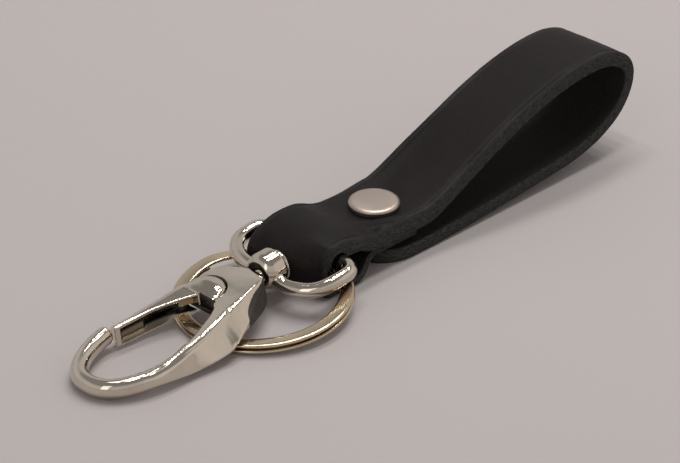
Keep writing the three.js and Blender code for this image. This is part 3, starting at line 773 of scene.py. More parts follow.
def strap_mesh():
    points, edge, grain, wear, uv, rows = [], [], [], [], [], []
    for at, way, thick, length, run in stations:
        out = Vector((way.y, -way.x))
        half_width = strap_half_width(at, length, run)
        row = []
        for across, height, cut_edge, grain_side in section_row(half_width, thick):
            wobble = FACE_WOBBLE * noise.noise(Vector((length * 0.35, across * 0.4, 5.0)))
            y = across + EDGE_WOBBLE * cut_edge * noise.noise(Vector((length * 0.9, height, 9.0)))
            depth = min(1.0, max(0.0, 0.5 - height / thick))
            x, z = marked(at.x + out.x * height, y, at.y + out.y * height, run, height, depth, grain_side)
            x += out.x * wobble * grain_side
            z += out.y * wobble * grain_side
            row.append(len(points))
            points.append(Vector((x, y, z)) * MM)
            edge.append(cut_edge)
            grain.append(grain_side)
            rubbed = EDGE_WEAR * ease(abs(across), half_width - 2.6, half_width - 0.4)
            bent = FOLD_WEAR * (1 - ease(abs(length - FOLD_AT), 3, 16))
            wear.append(max(rubbed, bent) * grain_side)
            uv.append((length * MM, (across + height) * MM))
        rows.append(row)
    count = len(rows[0])
    faces = [(a[k], b[k], b[(k + 1) % count], a[(k + 1) % count])
             for a, b in zip(rows, rows[1:]) for k in range(count)]
    faces += [rows[0], rows[-1]]
    mesh = bpy.data.meshes.new("strap")
    mesh.from_pydata(points, [], faces)
    for name, values in (("cut_edge", edge), ("grain_side", grain), ("wear", wear)):
        mesh.attributes.new(name, "FLOAT", "POINT").data.foreach_set("value", values)
    layer = mesh.uv_layers.new(name="UVMap")
    for loop in mesh.loops:
        layer.data[loop.index].uv = uv[loop.vertex_index]
    return mesh


strap = finished(strap_mesh(), "strap")
dress(strap, leather, "strap", "leather", "leather_strap")

# %% [markdown]
# ## The rivet
#
# A cap rivet is two thin caps: one carries a post, the other a socket, and setting them spreads the post
# inside. Only the caps show. Each is turned from a profile with a rolled rim and a faint crown, because
# a flat disc would catch the light like a coin. The hidden pieces keep the working part's meshes.

# %% Rivet caps
CAP_SPREAD = 0.12
CAP_RISE = 0.2
CAP_SINK = 0.05
CAP_WALL = 1.5
CAP_CROWN = 0.10
CAP_POLE = 1e-4
SHOULDER = 0.8
ROLLED_IN = 0.12
BASE_HOLLOW = 3.95


def cap_profile(radius, rim, crest, hollow):
    """Outside of a cap from its crest down over the rolled rim, then its hollow underside."""
    tall = crest - rim
    outside = [(CAP_POLE, crest)]
    for share in (0.2, 0.4, 0.6, 0.72, SHOULDER):
        outside.append((radius * share, crest - CAP_CROWN * tall * share**2))
    shoulder = crest - CAP_CROWN * tall * SHOULDER**2
    for turn in range(15, 181, 15):
        a = math.radians(turn)
        if turn <= 90:
            wide = mix(radius * SHOULDER, radius, math.sin(a) ** 0.9)
        else:
            wide = radius + ROLLED_IN * (1 + math.cos(a)) - 2 * ROLLED_IN
        outside.append((wide, mix(shoulder, rim, (1 - math.cos(a)) / 2)))
    ceiling = rim + 0.45 * tall
    return outside + [(hollow, rim), (hollow, ceiling), (CAP_POLE, ceiling)]


cap_low, cap_high = (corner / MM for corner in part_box("rivet_top_cap"))
cap_radius = cap_high.x + CAP_SPREAD
upper = cap_profile(cap_radius, cap_low.z - CAP_SINK, cap_high.z + CAP_RISE, cap_radius - CAP_WALL)
rivet_cap = lathe("rivet_cap", upper, row_space)
dress(rivet_cap, rivet_nickel, "strap", "rivet_metal", "rivet_top_cap")
low_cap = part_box("rivet_bottom_cap")[1] / MM
lower = [(r, low_cap.z - h) for r, h in cap_profile(low_cap.x, 0.0, low_cap.z, BASE_HOLLOW)]
rivet_base = lathe("rivet_base", lower, row_space)
dress(rivet_base, rivet_nickel, "strap", "rivet_metal", "rivet_bottom_cap")
hidden = (("rivet_socket", rivet_nickel), ("rivet_post", rivet_nickel), ("gate_pivot_pin", hook_nickel))
for node, finish in hidden:
    frame["nodes"][node].data.materials.clear()
    frame["nodes"][node].data.materials.append(finish)

# %% [markdown]
# ## Wire along a path
#
# The bail, the split ring and the spring are all wire that follows a path, so one small Geometry Nodes
# tree sweeps them: the path comes in as a curve, the wire's half width and half height are inputs, and
# Squareness below 1 fills the corners of a flat wire's section. The tree ends in a plain mesh.

# %% A tree that sweeps wire
WIRE_SIDES = 28


def wire_tree(name, finish):
    tree = bpy.data.node_groups.new(name, "GeometryNodeTree")
    socket = tree.interface.new_socket
    socket("Geometry", in_out="INPUT", socket_type="NodeSocketGeometry")
    for label in ("Width", "Height", "Squareness"):
        socket(label, in_out="INPUT", socket_type="NodeSocketFloat")
    socket("Geometry", in_out="OUTPUT", socket_type="NodeSocketGeometry")
    enter = {entry.name: Field(tree, entry) for entry in tree.nodes.new("NodeGroupInput").outputs}
    path = enter["Geometry"]
    spot = path.node("GeometryNodeInputPosition")
    corner = {}
    for way, label in (("X", "Width"), ("Y", "Height")):
        part = spot.node("ShaderNodeSeparateXYZ", out=way, Vector=spot)
        power = part.math("ABSOLUTE").math("POWER", enter["Squareness"])
        corner[way] = power * part.math("SIGN") * enter[label]
    ring = path.node("GeometryNodeCurvePrimitiveCircle", Resolution=WIRE_SIDES, Radius=1.0)
    profile = path.node("GeometryNodeSetPosition", Geometry=ring,
                        Position=spot.node("ShaderNodeCombineXYZ", **corner))
    sweep = path.node("GeometryNodeCurveToMesh", Curve=path, Profile_Curve=profile, Fill_Caps=True)
    real = path.node("GeometryNodeRealizeInstances", Geometry=sweep)
    painted = path.node("GeometryNodeSetMaterial", Geometry=real, Material=finish)
    tree.links.new(painted.socket, tree.nodes.new("NodeGroupOutput").inputs[0])
    return tree


def swept(name, points, to_row, width, height, squareness, finish, closed=False):
    """Wire of a given half width and half height along points in millimetres, as a plain mesh."""
    curve = bpy.data.curves.new(name, "CURVE")
    curve.dimensions = "3D"
    curve.twist_mode = "Z_UP"
    line = curve.splines.new("POLY")
    line.points.add(len(points) - 1)
    for spot, point in zip(line.points, points):
        spot.co = (*(to_row @ Vector(point)), 1)
    line.use_cyclic_u = closed
    path = linked(name + "_path", curve)
    tree = wire_tree(name + "_wire", finish)
    sweep = path.modifiers.new("sweep", "NODES")
    sweep.node_group = tree
    sockets = {item.name: item.identifier for item in tree.interface.items_tree if item.in_out == "INPUT"}
    for label, value in (("Width", width * MM), ("Height", height * MM), ("Squareness", squareness)):
        sweep[sockets[label]] = value
    mesh = evaluated(path)
    remove(path)
    return finished(mesh, name)


print("wire tree inputs: Width, Height, Squareness")

# %% [markdown]
# ## The bail
#
# The bail is a D of round wire with a barrel for the swivel in the middle of its bow, cast in one. The
# wire is swept along the D, the barrel is turned, and the two are melted, which leaves the web of a
# casting between them. The barrel's front face and its bore are cut afterwards, so they stay sharp.

# %% Bail
BAIL_HALF_WIDTH = 13.6
BAIL_DEPTH = 12.4
BAIL_CORNER = 2.8
BAIL_LEG = 1.8
BOW_FLAT = 3.95
BOW_SAG = 1.2
BARREL_RADIUS = 4.1
BARREL_LIFT = 0.6
BARREL_LENGTH = 4.4
BARREL_NOSE = 0.5
FACE_RADIUS = BARREL_RADIUS - 1.2
FACE_DEEP = 0.15
STUD = 1.5
BORE = STUD + 0.3 + 0.14


def arc(center, radii, first, last, steps):
    for i in range(steps):
        a = math.radians(mix(first, last, i / steps))
        yield (center[0] + radii[0] * math.cos(a), center[1] + radii[1] * math.sin(a), 0)


def bail_path():
    c, wide, level = BAIL_CORNER, BAIL_HALF_WIDTH, BOW_FLAT
    bow = c + BAIL_LEG
    run = [(0, mix(c - wide, wide - c, i / 24), 0) for i in range(24)]
    run += arc((-c, wide - c), (c, c), 0, 90, 12)
    run += [(mix(-c, -bow, i / 3), wide, 0) for i in range(3)]
    run += arc((-bow, level), (BAIL_DEPTH - bow, wide - level), 90, 180, 28)
    run += [(-BAIL_DEPTH, mix(level, -level, i / 8), 0) for i in range(8)]
    run += arc((-bow, -level), (BAIL_DEPTH - bow, wide - level), 180, 270, 28)
    run += [(mix(-bow, -c, i / 3), -wide, 0) for i in range(3)]
    run += arc((-c, c - wide), (c, c), 270, 360, 12)
    sag = [BOW_SAG * ease(-x, bow, BAIL_DEPTH - 1) * ease(-y, 1.0, level + 2) for x, y, _ in run]
    return [(x, y, -low) for (x, y, _), low in zip(run, sag)]


bail_wire = swept("bail_wire", bail_path(), bail_space, WIRE / 2, WIRE / 2, 1.0, hook_nickel, True)
barrel_at = -(bail_along.length / MM)
barrel_space = bail_space @ Matrix.Translation((0, 0, BARREL_LIFT))
reach = BARREL_LENGTH / 2
barrel_front = -reach - BARREL_NOSE
barrel_profile = [(POLE, barrel_front)]
for inwards, back in ((1.3, 0), (1.1, 0.1), (0.5, 0.7), (0.15, 1.3), (0, 1.9)):
    barrel_profile.append((BARREL_RADIUS - inwards, barrel_front + back))
for inwards, ahead in ((0, 0.4), (0.1, 0.1), (0.35, 0)):
    barrel_profile.append((BARREL_RADIUS - inwards, reach - ahead))
barrel_profile.append((POLE, reach))
barrel = lathe_x("barrel", barrel_profile, barrel_space, barrel_at)
bail = melted("bail", [bail_wire, barrel], voxel=0.17, rounds=8)
bail.data.materials.append(hook_nickel)
face_profile = [(FACE_RADIUS, -3 * reach), (FACE_RADIUS, barrel_front + FACE_DEEP)]
turned_face = lathe_x("turned_face", face_profile, barrel_space, barrel_at)
bore = lathe_x("bore", [(BORE, -2 * reach), (BORE, 2 * reach)], bail_space, barrel_at)
# The turned front face and the bore get the recess finish: its near-black colour is painted shade.
cut(bail, turned_face, bore, finish=recess_painted_shade)
dress(bail, hook_nickel, "bail", "hook_metal", "swivel_bail")

# %% [markdown]
# ## The swivel stud
#
# The stud is a rivet-like pin: its head turns behind the barrel and its other end is fixed in the hook.
# In the photograph the head is a rounded button, so the profile is a low dome with a soft rim.

# %% Swivel stud
STUD_END = -6.1
HEAD = 3.6
HEAD_TALL = 1.9
HEAD_RIM = 0.45
HEAD_EDGE = 0.2
head_from = reach + 0.4
stud_profile = [(POLE, STUD_END), (STUD, STUD_END), (STUD, head_from), (HEAD - HEAD_EDGE, head_from),
                (HEAD, head_from + HEAD_EDGE)]
for turn in range(0, 90, 10):
    a = math.radians(turn)
    dome_height = head_from + HEAD_RIM + (HEAD_TALL - HEAD_RIM) * math.sin(a)
    stud_profile.append((HEAD * math.cos(a) ** 0.8, dome_height))
stud_profile.append((POLE, head_from + HEAD_TALL))
stud = lathe_x("swivel_button", stud_profile, hook_space)
dress(stud, hook_nickel, "hook", "hook_metal", "swivel_stud")

# %% [markdown]
# ## The hook's outline and lines
#
# Seen from above, the hook is an oval that is a little squarer than an ellipse. Its sections follow a few
# lines: the sharp ridge along the arm's top, the side and the foot of its sloping flank, the far rim of
# the shield and the inner edge of the opening. Each row is a place on the line, measured from the swivel.

# %% The oval and the lines of the hook
HOOK_TIP = 49.2
OVAL_REAR = 4.8
OVAL_HALF = (HOOK_TIP - OVAL_REAR) / 2
OVAL_MIDDLE = HOOK_TIP - OVAL_HALF
OVAL_WIDE = 10.0
OVAL_OFFSET = 0.6
SQUARENESS = 2.35


def oval(angle):
    """A point of the oval: 0 is the tip, positive angles go down the arm, negative to the gate."""
    a = math.radians(angle)

    def squared(value):
        return math.copysign(abs(value) ** (2 / SQUARENESS), value)

    across = OVAL_OFFSET - OVAL_WIDE * squared(math.sin(a))
    return Vector((-OVAL_MIDDLE - OVAL_HALF * squared(math.cos(a)), across))


def oval_angle(forward):
    """Degrees round the oval, on its near side, at a distance forward."""
    return math.degrees(math.acos(((forward - OVAL_MIDDLE) / OVAL_HALF) ** (SQUARENESS / 2)))


def oval_ring(angle, ring):
    """A ring of (outwards, up) pairs set square across the oval."""
    at = oval(angle)
    way = (oval(angle - 0.5) - oval(angle + 0.5)).normalized()
    return [(at.x + a * way.y, at.y - a * way.x, h) for a, h in ring]


# Forward from the swivel, across with the near side negative, and up.
RIDGE = [(3.1, -2.1, 1.6), (3.5, -2.5, 2.0), (3.9, -3.0, 2.25), (4.5, -3.6, 2.5), (5.2, -4.15, 2.65),
         (6.5, -4.6, 2.8), (9.4, -5.25, 2.95), (12.5, -6.0, 3.0), (15.2, -6.7, 3.0), (17.6, -7.3, 3.0),
         (20.9, -8.1, 2.95), (24.4, -8.85, 2.85), (27.0, -9.3, 2.75), (31.0, -9.5, 2.5),
         (36.0, -9.2, 2.2), (42.0, -7.6, 2.0)]
SIDE = [(3.1, -2.0, 0.0), (5.2, -4.2, 1.5), (9.5, -6.6, 1.0), (13.0, -8.6, 0.2), (15.0, -9.7, -0.3),
        (16.8, -10.6, -0.6), (18.5, -11.3, -0.85), (20.0, -11.8, -1.1), (22.0, -12.1, -1.8),
        (26.4, -11.8, -2.1), (30.5, -11.2, -2.1), (34.6, -10.7, -2.0), (38.4, -10.0, -1.9),
        (42.0, -9.0, -1.8)]
FOOT = [(3.1, -2.1, -1.6), (5.0, -4.6, -1.65), (7.0, -6.6, -1.65), (9.5, -8.0, -1.65),
        (12.5, -9.1, -1.6), (15.0, -9.8, -1.5), (17.0, -10.5, -1.25), (18.5, -11.1, -1.15),
        (21.0, -11.7, -1.45), (22.6, -11.8, -2.1), (26.4, -11.4, -2.4), (30.5, -10.8, -2.4),
        (34.6, -10.3, -2.3), (38.4, -9.6, -2.1), (42.0, -8.6, -2.0)]
RIM = [(3.1, 2.0, 1.6), (3.5, 2.5, 2.0), (3.9, 2.9, 2.25), (4.5, 3.5, 2.45), (5.1, 4.2, 2.6),
       (6.4, 5.9, 2.75), (8.3, 7.4, 2.8), (10.7, 8.4, 2.7), (12.0, 8.5, 2.45), (14.5, 8.1, 2.0),
       (18.2, 7.8, 1.8)]
INNER = [(18.2, -2.9, 2.7), (20.5, -4.2, 2.7), (23.3, -5.2, 2.6), (27.3, -6.4, 2.4), (30.6, -6.9, 2.2),
         (35.4, -7.2, 2.0), (42.0, -6.2, 1.9)]
print("oval from %.1f to %.1f mm forward" % (OVAL_REAR, HOOK_TIP))

# %% [markdown]
# ## The hook's sections
#
# At each distance forward the lines give the corners of a section, and the corners are rounded a little.
# The shield's section is wide, and at the opening it shrinks to the arm's. Towards the nose the corners
# close up on one point, so that the arm turns round. Points are spread evenly, since a remesh needs some
# on the long flat stretches too.

# %% Section of the hook
BODY_REAR = 3.1
BODY_FRONT = 18.2
FRONT_SLOPE = 1.2
ARM_ROUNDS = 30.0
NOSE_START = 42.0
NOSE_WIDE = 1.85
NOSE_TALL = 2.1
EDGE = 0.35
BEVEL = 1.1
INNER_BEVEL = 0.25
CROWN = 0.3
SIDES = 144


def even(ring, count):
    """The same closed outline with its points evenly spaced."""
    ends = ring[1:] + ring[:1]
    lengths = [math.dist(a, b) for a, b in zip(ring, ends)]
    step = sum(lengths) / count
    spread, run, i = [], 0.0, 0
    for k in range(count):
        while run + lengths[i] < k * step:
            run += lengths[i]
            i += 1
        t = (k * step - run) / max(lengths[i], 1e-9)
        spread.append((mix(ring[i][0], ends[i][0], t), mix(ring[i][1], ends[i][1], t)))
    return spread


def body_ring(forward, inset=0.0):
    """The section at a distance forward: far rim, crown, ridge and foot, or the round arm."""
    ridge, crest = along_keys(RIDGE, forward)
    side, level = along_keys(SIDE, forward)
    foot, low = along_keys(FOOT, forward)
    opened = ease(forward, BODY_FRONT - FRONT_SLOPE, BODY_FRONT)
    rim, inner = along_keys(RIM, forward), along_keys(INNER, forward)
    far, top = mix(rim[0], inner[0], opened), mix(rim[1], inner[1], opened)
    bevel = BEVEL * (1 - opened) + INNER_BEVEL * opened
    e = EDGE + inset
    broad = ease(forward, 11.0, 16.0)
    corners = [
        (far - e, top - e - bevel), (far - e - bevel, top - e),
        (ridge + e + 0.6 * broad, crest - e + 0.03), (ridge + e + 0.1 * broad, crest - e - 0.14 * broad),
        (ridge + e - 0.34 * broad, crest - e - 0.52 * broad), (side + e, level), (foot + e, low + e),
        (far - e - bevel, low + e), (far - e, low + e + bevel / 2),
    ]
    round_off = ease(forward, ARM_ROUNDS, NOSE_START)
    nose = oval(oval_angle(max(forward, OVAL_MIDDLE))).y if forward > ARM_ROUNDS else 0.0
    corners = [(mix(y, nose, round_off), mix(h, 0, round_off)) for y, h in corners]
    radius = mix(EDGE, (NOSE_WIDE + NOSE_TALL) / 2, round_off)
    middle, half_span = (far + ridge) / 2, max((far - ridge) / 2, 0.1)
    ring = []
    for y, h in even(rounded(corners, radius, 120), SIDES):
        arch = max(0.0, 1 - ((y - middle) / half_span) ** 2) * ease(h, 0.0, 1.2)
        ring.append((-forward, y, h + CROWN * (1 - round_off) * arch))
    return ring


print("shield's section at 10 mm:", len(body_ring(10.0)), "points")

# %% [markdown]
# ## The hook's casting
#
# The hook is one casting: a shield at the swivel, an arm along the near side and a round nose. One loft
# runs through all of it, from the rear over the sections to the nose, which follows the oval and ends in
# a dome. The loft is melted with voxels of a fifth of a millimetre, so the ridge keeps its edge.

# %% Loft of the hook
BODY_STEPS = 110
NOSE_STEPS = 90
NOSE_END = -68.3
NOSE_CAP = 3.2
rear_rings = [body_ring(BODY_REAR + f, inset) for f, inset in ((0.0, 0.7), (0.12, 0.35), (0.35, 0.12))]
body_from, body_to = BODY_REAR + 0.8, NOSE_START - 0.9
body_rings = [body_ring(mix(body_from, body_to, i / BODY_STEPS)) for i in range(BODY_STEPS + 1)]
nose_turns = [mix(oval_angle(NOSE_START), NOSE_END, i / NOSE_STEPS) for i in range(NOSE_STEPS + 1)]
nose_section = [(NOSE_WIDE * a, NOSE_TALL * h) for a, h in circle(1.0, SIDES)]
nose_rings = [oval_ring(turn, nose_section) for turn in nose_turns]
for step in range(1, 9):
    bow = math.radians(step * 10)
    shrink = math.cos(bow) ** 0.6
    ring = [(a * shrink, h * shrink) for a, h in nose_section]
    nose_rings.append(oval_ring(NOSE_END - NOSE_CAP * math.sin(bow), ring))
hook_loft = loft("hook_loft", rear_rings + body_rings + nose_rings, hook_space)
hook = melted("hook", [hook_loft], voxel=0.18, rounds=4)
hook.data.materials.append(hook_nickel)
print("hook's casting:", len(hook.data.polygons), "faces")

# %% [markdown]
# ## The hook's machining
#
# The gate's hub turns in a round pocket, and the gate's arm needs room to swing, so both are cut out of
# the casting, with the holes for the pin and the stud. The front of the shield is cut first, while its
# skin is still simple. The cut faces get the recess's near-black colour as painted shade. The wall under
# the shield's near edge gets the same finish by the place of its faces: painted shade under that edge.

# %% Cuts in the hook
HUB = 4.3
FREE = 0.3
CHEEK = -0.6
FAR = 60.0
PIN = 1.0
STUD_HOLE = 1.6
STUD_HOLE_END = -6.4
SWING_FROM = -12.3
SWING_TO = 0.9
NOTCH_FROM = (-18.9, -3.6)
NOTCH_TO = (-15.2, -0.8)
pocket = lathe("pocket", rod_profile(HUB + FREE, CHEEK, FAR), pivot_space)
swing = box("swing", (SWING_FROM, 0, CHEEK), (SWING_TO, FAR, FAR), pivot_space)
pin_hole = lathe("pin_hole", rod_profile(PIN, -FAR, FAR), pivot_space, 32)
stud_hole = lathe_x("stud_hole", rod_profile(STUD_HOLE, STUD_HOLE_END, 0), hook_space)
notch_way = math.atan2(NOTCH_TO[1] - NOTCH_FROM[1], NOTCH_TO[0] - NOTCH_FROM[0])
notch_space = hook_space @ Matrix.Translation((*NOTCH_FROM, 0)) @ Matrix.Rotation(notch_way, 4, "Z")
notch = box("notch", (-0.6, 0, CHEEK), (6.0, 4.0, FAR), notch_space)
cheek_front = box("cheek_front", (-18.7, -2.5, -9.0), (-16.9, 12.0, 9.0), hook_space)
# The cut faces get the recess finish: its near-black colour is painted shade in the pocket, holes and
# notch.
cut(hook, cheek_front, pocket, swing, pin_hole, stud_hole, notch, finish=recess_painted_shade)

# Faces of the near wall under the shield's edge get the recess finish by their place: painted shade.
SHADED_WALL_TOP = [(3.1, 1.0), (5.2, 2.2), (7.8, 2.3), (10.95, 1.9), (13.8, 0.9), (15.2, -0.8), (16.0, -1.8)]
to_hook = hook_space.inverted()
painted_shade_index = hook.data.materials.find(recess_painted_shade.name)
for face in hook.data.polygons:
    spot = to_hook @ face.center
    on_near_side = spot.y < 0 and face.normal.y < -0.2
    if on_near_side and SHADED_WALL_TOP[0][0] < -spot.x < SHADED_WALL_TOP[-1][0]:
        if spot.z < along_keys(SHADED_WALL_TOP, -spot.x):
            face.material_index = painted_shade_index
dress(hook, hook_nickel, "hook", "hook_metal", "hook_body")

# %% [markdown]
# ## The gate
#
# The gate is a lever: a domed hub over the pivot, cut flat across its front, and an arm with a channel
# milled along its inner side. The dome falls towards its front, so its turned points are lowered there.
# The arm is a loft over a short table, like the hook's, and ends square to its own line.

# %% Dome and arm of the gate
GATE_REACH = 21.05
GATE_FROM = 14.4
GATE_TO = 39.4
GATE_STEPS = 70
GATE_EDGE = 0.3
DOME_RADIUS = HUB - 0.05
DOME_FRONT = 1.9
DOME_LOW = 2.65
DOME_TALL = 1.5
DOME_FALL = 0.85
dome_profile = [(POLE, CHEEK + FREE), (DOME_RADIUS, CHEEK + FREE), (DOME_RADIUS, DOME_LOW)]
for turn in range(10, 90, 10):
    a = math.radians(turn)
    dome_profile.append((DOME_RADIUS * math.cos(a), DOME_LOW + DOME_TALL * math.sin(a)))
dome_profile.append((POLE, DOME_LOW + DOME_TALL))
dome = lathe("dome", dome_profile, pivot_space, 72)
to_pivot = pivot_space.inverted()
for point in dome.data.vertices:
    spot = to_pivot @ point.co
    if spot.z > DOME_LOW:
        spot.z = mix(spot.z, DOME_LOW, DOME_FALL * ease(-spot.x, -1.5, DOME_FRONT))
        point.co = pivot_space @ spot
cut(dome, box("dome_front", (-2 * HUB, -FAR, -FAR), (-DOME_FRONT, FAR, FAR), pivot_space))

# Forward from the swivel: inner side, outer side, top and bottom of the gate's arm.
GATE = [(14.4, 2.2, 8.4, 2.5, -0.3), (16.8, 2.9, 9.3, 2.45, -0.3), (17.4, 3.2, 9.4, 2.4, -1.6),
        (19.0, 4.1, 9.7, 2.3, -1.6), (21.3, 5.2, 9.9, 2.15, -2.0), (23.5, 6.0, 10.0, 2.1, -2.9),
        (26.7, 6.8, 10.1, 2.1, -3.1), (31.7, 7.4, 10.2, 2.1, -3.0), (39.6, 8.3, 11.2, 2.1, -2.5)]


def gate_ring(forward):
    inner, outer, top, bottom = along_keys(GATE, forward)
    e = GATE_EDGE
    corners = [(inner + e, top - e), (outer - 2.2, top - e + 0.1), (outer - 1.2, top - e - 0.35),
               (outer - e, top - 1.6), (outer - e, bottom + 1.5), (outer - 2.2, bottom + e),
               (inner + e, bottom + e)]
    return [(-forward, y, h) for y, h in rounded(corners, e)]


gate_rings = [gate_ring(mix(GATE_FROM, GATE_TO, i / GATE_STEPS)) for i in range(GATE_STEPS + 1)]
gate_arm = loft("gate_arm", gate_rings, hook_space)
gate_end = oval(-68)
gate_turn = math.atan2(gate_end.y - pivot.y, gate_end.x - pivot.x)
gate_space = pivot_space @ Matrix.Rotation(gate_turn, 4, "Z")
cut(gate_arm, box("gate_stop", (GATE_REACH, -FAR, -FAR), (FAR, FAR, FAR), gate_space))
gate = melted("gate", [dome, gate_arm], voxel=0.16, rounds=3)
gate.data.materials.append(hook_nickel)
print("gate's casting:", len(gate.data.polygons), "faces")

# %% [markdown]
# ## The gate's machining
#
# The channel along the inner side saves metal in the casting; it is a little rougher than the rest, and
# its dim colour is painted shade. A slot passes the hook's cheek, and under the dome there is room for
# the spring and the pin, and these get the recess's near-black colour as painted shade. All of them are
# cut after the melting, because voxels would round their edges off.

# %% Cuts in the gate
CHANNEL_FROM = 20.5
CHANNEL_TO = 34.2
CHANNEL_STEPS = 14
CHANNEL_LIP = 0.6
CHANNEL_DEEP = 0.55
SPRING_ROOM = 1.65
SPRING_TOP = 1.75
PIN_TOP = 2.45
ROOM_LOW = -9
channel_rings = []
for i in range(CHANNEL_STEPS + 1):
    x = mix(CHANNEL_FROM, CHANNEL_TO, i / CHANNEL_STEPS)
    inner, outer, top, bottom = along_keys(GATE, x)
    low, high = bottom + CHANNEL_LIP, top - CHANNEL_LIP
    open_side, floor = inner - 1.5, inner + CHANNEL_DEEP
    outline = ((open_side, low), (floor, low), (floor, high), (open_side, high))
    channel_rings.append([(-x, y, h) for y, h in outline])
channel = loft("channel", channel_rings, hook_space)
slot = box("slot", (-28.0, 0.0, -1.3), (-16.9, 8.2, 0.45), hook_space)
spring_room = lathe("spring_room", rod_profile(SPRING_ROOM, ROOM_LOW, SPRING_TOP), pivot_space, 40)
pin_room = lathe("pin_room", rod_profile(PIN, ROOM_LOW, PIN_TOP), pivot_space, 32)
hub_front = box("hub_front", (-19.0, -6.0, -9.0), (-16.6, 2.6, 2.9), hook_space)
# The channel's dim colour is painted shade.
cut(gate, channel, finish=channel_painted_shade)
# The slot, the rooms under the dome and the hub's front get the recess finish: painted shade.
cut(gate, slot, spring_room, pin_room, hub_front, finish=recess_painted_shade)
dress(gate, hook_nickel, "gate", "hook_metal", "gate_lever")

# %% [markdown]
# ## The split ring
#
# A split ring is flat wire wound twice, with a step where it climbs from one turn to the next. Its path
# is a circle that is walked almost twice and rises inside the step, and the wire tree sweeps it with a
# squarer section than the bail's.

# %% Split ring
BAND = 3.0
FLAT_WIRE = 0.9
TURN_GAP = 0.45
JOGGLE = 40
ENDS_APART = 6
RING_SQUARENESS = 0.62
ring_low, ring_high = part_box("split_ring")
ring_middle = (ring_high.y - ring_low.y) / 2 / MM - BAND / 2
climb = FLAT_WIRE + TURN_GAP
ring_path = []
for i in range(0, 720 - JOGGLE - ENDS_APART + 1, 2):
    a = math.radians(i + 90)
    rise = climb * (ease(i, 360 - JOGGLE, 360) - 0.5)
    ring_path.append((ring_middle * math.cos(a), ring_middle * math.sin(a), rise))
split_ring = swept("key_ring", ring_path, ring_space, BAND / 2, FLAT_WIRE / 2, RING_SQUARENESS,
                   ring_nickel)
dress(split_ring, ring_nickel, "key_ring", "ring_metal", "split_ring")

# %% [markdown]
# ## The gate's spring
#
# A short coil round the pin pushes the gate shut. It is hidden under the dome, and a helix of points
# swept by the same tree is enough for it.

# %% Gate spring
SPRING_RADIUS = 1.2
SPRING_PITCH = 0.8
SPRING_WIRE = 0.2
SPRING_TURN = 630
spring_low = CHEEK + FREE + SPRING_WIRE
coil = []
for i in range(0, SPRING_TURN + 1, 10):
    a = math.radians(i)
    rise = spring_low + SPRING_PITCH * i / 360
    coil.append((SPRING_RADIUS * math.cos(a), SPRING_RADIUS * math.sin(a), rise))
spring = swept("gate_coil", coil, pivot_space, SPRING_WIRE, SPRING_WIRE, 1.0, spring_steel)
dress(spring, spring_steel, "hook", "spring_steel", "gate_spring")

# %% [markdown]
# ## The table
#
# The photograph was taken on a pale, slightly warm sheet without any pattern. One large face with a slow
# change of tone is enough, and it belongs to the stage, not to the part.

# %% Table
SHEET = 1.6
corners = [(-SHEET, -SHEET, 0), (SHEET, -SHEET, 0), (SHEET, SHEET, 0), (-SHEET, SHEET, 0)]
sheet_mesh = bpy.data.meshes.new("table")
sheet_mesh.from_pydata(corners, [], [(0, 1, 2, 3)])
table = linked("table", sheet_mesh)
paper, paper_tree, paper_shader = material("pale_sheet", Roughness=0.7, Specular_IOR_Level=0.25)
paper_cloud = coordinates(paper_tree).noise(6.0, 3.0)
paper_color = paper_cloud.blend((0.478, 0.440, 0.437, 1), (0.506, 0.466, 0.464, 1))
feed(paper_tree, paper_shader, Base_Color=paper_color)
sheet_mesh.materials.append(paper)
table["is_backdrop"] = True
print("table: %.1f m square" % (2 * SHEET))

# %% [markdown]
# ## Light
#
# Polished metal shows its surroundings, so the world is a plain room: mid-grey walls, lighter at the near
# right, and a darker ceiling. Two rows of small lamps under that ceiling light the table softly and
# break the bright lines on the hook up into dashes, as in the photograph. A weak softbox fills the side.

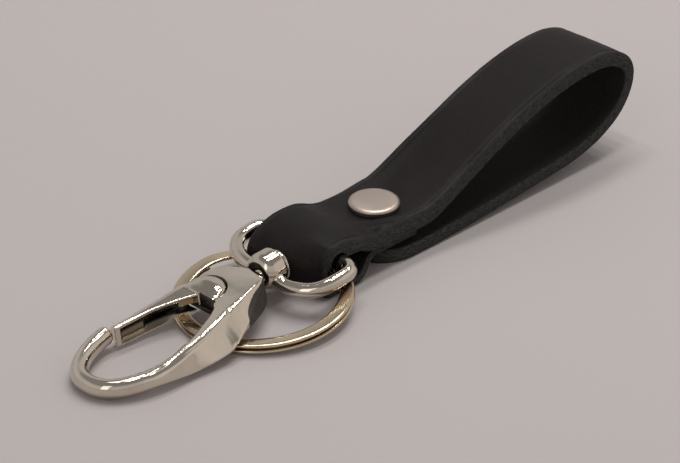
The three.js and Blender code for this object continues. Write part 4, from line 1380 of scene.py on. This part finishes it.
# %% Room and lamps
LAMP_ROW = 5
LAMP_SIZE = (0.07, 0.13)
LAMP_WATTS = 0.445
LAMP_HEIGHT = 0.75
SIDE_WATTS = 0.5
world = bpy.data.worlds.new("studio")
scene.world = world
world.use_nodes = True
sky = world.node_tree
direction = coordinates(sky, "Generated")
height = direction.node("ShaderNodeSeparateXYZ", out="Z", Vector=direction)
near_right = direction.node("ShaderNodeVectorMath", {"operation": "DOT_PRODUCT"}, out=1,
                            i0=direction, i1=(0.62, -0.6, 0.5)).between(0.6, 0.95)
wall = height.between(-0.1, 0.25).blend((0.34, 0.33, 0.32, 1), (0.53, 0.515, 0.505, 1))
walls = (near_right * 0.7).blend(wall, (0.74, 0.69, 0.64, 1))
ceiling = height.between(0.58, 0.74).blend(walls, (0.26, 0.255, 0.25, 1))
sky.links.new(ceiling.socket, sky.nodes["Background"].inputs["Color"])
sky.nodes["Background"].inputs["Strength"].default_value = 1.0


def softbox(name, at, aim, size, watts, tint=(1, 0.98, 0.95)):
    lamp = bpy.data.lights.new(name, "AREA")
    lamp.shape = "RECTANGLE"
    lamp.size, lamp.size_y = size
    lamp.energy = watts
    lamp.color = tint
    stand = linked(name, lamp)
    stand.location = at
    stand.rotation_euler = (Vector(aim) - Vector(at)).to_track_quat("-Z", "Y").to_euler()


for number in range(2 * LAMP_ROW):
    x, y = -0.05 + 0.14 * (number % LAMP_ROW), -0.07 + 0.26 * (number // LAMP_ROW)
    softbox("lamp_%d" % number, (x, y, LAMP_HEIGHT), (x, y, 0), LAMP_SIZE, LAMP_WATTS)
softbox("side", (-0.75, -0.25, 0.45), (-0.02, 0, 0), (0.25, 0.6), SIDE_WATTS)

# %% [markdown]
# ## Camera
#
# The camera was fitted to the photograph by the rivet's round cap and the strap's width: it looks down
# from the hook's end, over the near side, through a long lens.

# %% Camera
VIEW_AZIMUTH = math.radians(-44.34)
VIEW_ELEVATION = math.radians(30.0)
CAMERA_AT = (-0.3310, -0.3283, 0.2726)
look = Vector((-math.sin(VIEW_AZIMUTH) * math.cos(VIEW_ELEVATION),
               math.cos(VIEW_AZIMUTH) * math.cos(VIEW_ELEVATION), -math.sin(VIEW_ELEVATION)))
lens = bpy.data.cameras.new("camera")
lens.sensor_width = 36.0
lens.lens = 132.35
lens.clip_start = 0.01
camera = linked("camera", lens)
camera.location = CAMERA_AT
camera.rotation_euler = look.to_track_quat("-Z", "Y").to_euler()
scene.camera = camera
scene.view_settings.view_transform = "Standard"
print("camera: %.1f mm lens at" % lens.lens, CAMERA_AT)

# %% [markdown]
# ## Sizes and the end
#
# The finished pieces should fill the same room as the working part. Both boxes are printed, so that
# they can be compared.

# %% Sizes and the end
boxes = {"cad": cad_box, "visual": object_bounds()}
for name, pair in boxes.items():
    print(name, "box in mm:", [round(v / MM, 1) for corner in pair for v in corner])
